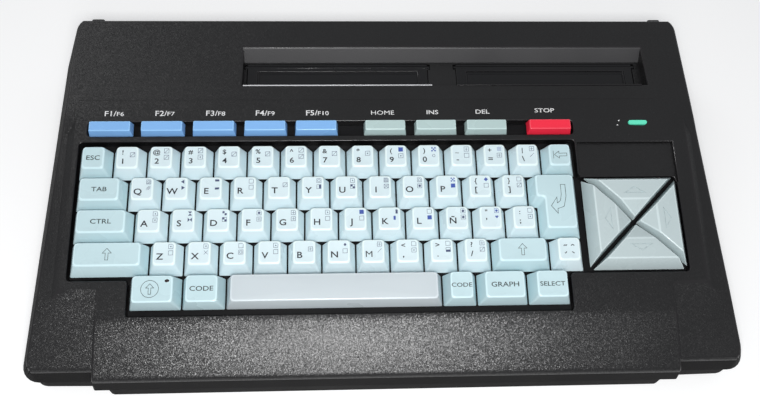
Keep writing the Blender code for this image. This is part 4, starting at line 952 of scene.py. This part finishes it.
def print_keys():
    """The legends of every key of the main block."""
    print_row("number_row_keys", number_legends, True)
    for name, legends in letter_legends.items():
        print_row(name, legends, False)
    line = 0.00026
    for name, (words, height) in word_legends.items():
        sheet = Print(caps[name])
        sheet.text(words, *spot(caps[name], 0.5, 0.5), height, 1.25)
        add_piece(name + "_ink", sheet.shape, soft_ink, name)
    for name in ("left_shift_key", "right_shift_key", "caps_key", "backspace_key", "accents_key",
                 "return_key"):
        cap = caps[name]
        sheet = Print(cap)
        if name in ("left_shift_key", "right_shift_key"):
            sheet.arrow(up_arrow, spot(cap, 0.5, 0.5), (0.0048, 0.0066), line)
        elif name == "caps_key":
            place = spot(cap, 0.44, 0.5)
            sheet.arrow(up_arrow, place, (0.0042, 0.0058), line)
            sheet.disc(*place, 0.0047, line, 32)
        elif name == "backspace_key":
            x, y = spot(cap, 0.5, 0.5)
            sheet.arrow(left_arrow, (x + 0.0006, y), (0.0072, 0.0044), line)
            sheet.line((x - 0.0036, y - 0.0024), (x - 0.0036, y + 0.0024), line)
        elif name == "accents_key":
            strokes = [
                [(-0.0030, 0.0017), (-0.0023, 0.0023), (-0.0017, 0.0019), (-0.0010, 0.0024)],
                [(0.0012, 0.0018), (0.0021, 0.0025), (0.0030, 0.0018)],
                [(-0.0026, -0.0026), (-0.0014, -0.0017)],
                [(0.0015, -0.0017), (0.0027, -0.0026)],
            ]
            x, y = spot(cap, 0.5, 0.5)
            for stroke in strokes:
                for (ax, ay), (bx, by) in zip(stroke, stroke[1:]):
                    sheet.line((x + ax, y + ay), (x + bx, y + by), 0.0005)
        else:
            bend = [(0.35, 0.5), (0.1, 0.5), (0.1, 0.16), (0.02, -0.06), (-0.16, -0.14), (-0.16, 0.06),
                    (-0.5, -0.24), (-0.16, -0.5), (-0.16, -0.34), (0.2, -0.26), (0.35, 0.1)]
            sheet.arrow(bend, (0.2737, 0.0507), (0.0105, 0.0175), line)
        add_piece(name + "_ink", sheet.shape, key_ink if name == "accents_key" else soft_ink, name)


def print_labels():
    """The white labels behind the function keys, the dots beside the lamp, and a painted highlight line along
    the deck's crease.
    """
    sheet = Print(Flat(surface_rise))
    for number, x in enumerate((0.0174, 0.0467, 0.0762, 0.1052, 0.1348)):
        sheet.text(f"F{number + 1}/", x - 0.0022, 0.1093, 0.0033, 1.2)
        sheet.text(f"F{number + 6}", x + (0.0035 if number < 4 else 0.0046), 0.1090, 0.0026, 1.25)
    for words, x, y in (("HOME", 0.1746, 0.1092), ("INS", 0.2043, 0.1094), ("DEL", 0.2344, 0.1096),
                        ("STOP", 0.2718, 0.1103)):
        sheet.text(words, x, y, 0.0027, 1.3)
    sheet.disc(0.3163, 0.1034, 0.0005, sides=10)
    sheet.disc(0.3152, 0.1004, 0.0004, sides=10)
    add_piece("deck_labels", sheet.shape, white_ink, "case")
    # A thin pale line along the deck's crease: a painted highlight
    crease = Print(Flat(surface_rise))
    crease.line((-0.004, 0.1180), (0.340, 0.1180), 0.0003)
    add_piece("deck_crease_highlight", crease.shape, edge_highlight_skin, "case")


def soft_bar(low, high, edge=0.0002):
    """A bar between two corners with rounded edges, as a bmesh."""
    points = [(x, y, z) for x in (low[0], high[0]) for y in (low[1], high[1]) for z in (low[2], high[2])]
    return hull_piece(points, edge)


def make_slot_trims():
    """The lip in front of each cartridge door, pale and glossy as a painted highlight, and paler lines drawn
    on each door along its frame: painted highlights of the frame's edges.
    """
    front, lip_foot, lip_top = 0.06025, 0.0618, 0.0623
    # Each lip's pale finish is a painted highlight
    for number, lip_highlight in ((1, lip_highlight_skin), (2, edge_highlight_skin)):
        door = f"cartridge_door_{number}"
        low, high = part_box(door)
        shape = soft_bar((low[0], front - 0.0006, lip_foot), (high[0], front + 0.0001, lip_top))
        add_piece(f"slot_lip_{number}", shape, lip_highlight, "case", place=in_world)
        # Paler lines along the door's frame: painted highlights of its edges
        sheet = Print(Flat(high[2]))
        frame_outline = rectangle(low[0] + 0.0075, low[1] + 0.0022, high[0] - 0.0065, low[1] + 0.0132)
        sheet.band(frame_outline, 0.0003)
        sheet.band(inset(frame_outline, 0.0012), 0.0002)
        add_piece(f"door_frame_{number}", sheet.shape, edge_highlight_skin, door,
                  place=in_world)


def make_caps_lamp():
    """The small dark lamp at the rear of the caps key."""
    cap = caps["caps_key"]
    x, y = spot(cap, 0.86, 0.80)
    place = Matrix.Translation((x, y, cap.top_at(x, y))) @ Matrix.Diagonal((0.0013, 0.0009, 0.0003, 1))
    shape = bmesh.new()
    bmesh.ops.create_uvsphere(shape, u_segments=20, v_segments=10, radius=1, matrix=place)
    add_piece("caps_lamp", shape, dark_lens, "caps_key")


def add_pins(name, places, radius, length, face_y, skin):
    """Round-nosed contact pins that stand in a socket, from points on its face."""
    sides = 12
    turns = [math.tau * i / sides for i in range(sides)]
    shape = bmesh.new()
    for x, z in places:
        rings = []
        for share, wide in ((0, 1), (0.8, 1), (0.93, 0.8), (1, 0.35)):
            y = face_y - length * (1 - share)
            rings.append([shape.verts.new((x + radius * wide * math.cos(turn), y,
                                           z + radius * wide * math.sin(turn))) for turn in turns])
        for one, two in zip(rings, rings[1:]):
            for i in range(sides):
                j = (i + 1) % sides
                shape.faces.new((one[i], one[j], two[j], two[i]))
        shape.faces.new(rings[0])
        shape.faces.new(rings[-1])
    add_piece(name, shape, skin, "case", place=in_world)


def middle_of(name):
    """The middle of a node in x and z, and the y of its rear face."""
    low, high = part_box(name)
    return (low[0] + high[0]) / 2, (low[2] + high[2]) / 2, high[1]


def make_contacts():
    """Pins and contact strips in the rear sockets."""
    joystick_pitch, printer_pitch, ring_radius = 0.00277, 0.0043, 0.0033
    x, z, y = middle_of("mains_inlet")
    add_pins("mains_inlet_pins", [(x - 0.0043, z), (x + 0.0043, z)], 0.0016, 0.0068, y - 0.005, brass_skin)
    for name in ("joystick_port_1", "joystick_port_2"):
        x, z, y = middle_of(name)
        places = [(x + (i - 2) * joystick_pitch, z + 0.0014) for i in range(5)]
        places += [(x + (i - 1.5) * joystick_pitch, z - 0.0014) for i in range(4)]
        add_pins(name + "_pins", places, 0.0005, 0.0045, y - 0.0012, brass_skin)
    x, z, y = middle_of("printer_port")
    shape = soft_bar((x - 0.0165, y - 0.007, z - 0.0011), (x + 0.0165, y - 0.0016, z + 0.0011), 0.0004)
    add_piece("printer_port_tongue", shape, inner_skin, "case", place=in_world)
    shape = bmesh.new()
    strip = Matrix.Diagonal((0.0014, 0.0046, 0.0003, 1))
    for i in range(7):
        for side in (-1, 1):
            at = Matrix.Translation((x + (i - 3) * printer_pitch, y - 0.0042, z + side * 0.0012))
            made = bmesh.ops.create_cube(shape, size=1, matrix=at @ strip)
            edges = list(dict.fromkeys(edge for vertex in made["verts"] for edge in vertex.link_edges))
            bmesh.ops.bevel(shape, geom=edges, offset=0.0001, segments=2, profile=0.5, affect="EDGES")
    add_piece("printer_port_contacts", shape, brass_skin, "case", place=in_world)
    for name, count, spread in (("video_socket", 5, math.pi), ("cassette_socket", 8, math.tau * 0.73)):
        x, z, y = middle_of(name)
        turns = [math.pi / 2 + spread * (i / (count - 1) - 0.5) for i in range(count)]
        places = [(x + ring_radius * math.cos(turn), z + ring_radius * math.sin(turn)) for turn in turns]
        add_pins(name + "_pins", places, 0.0005, 0.006, y - 0.002, brass_skin)
    x, z, y = middle_of("modulator_box")
    add_pins("aerial_insulator", [(x, z)], 0.0030, 0.0012, y + 0.0003, inner_skin)
    add_pins("aerial_pin", [(x, z)], 0.0008, 0.0014, y + 0.0006, brass_skin)


place_camera()
set_stage()
make_main_keys()
make_return_key()
make_function_keys()
make_cursor_keys()
make_shells()
print_keys()
print_labels()
make_caps_lamp()
make_slot_trims()
make_contacts()
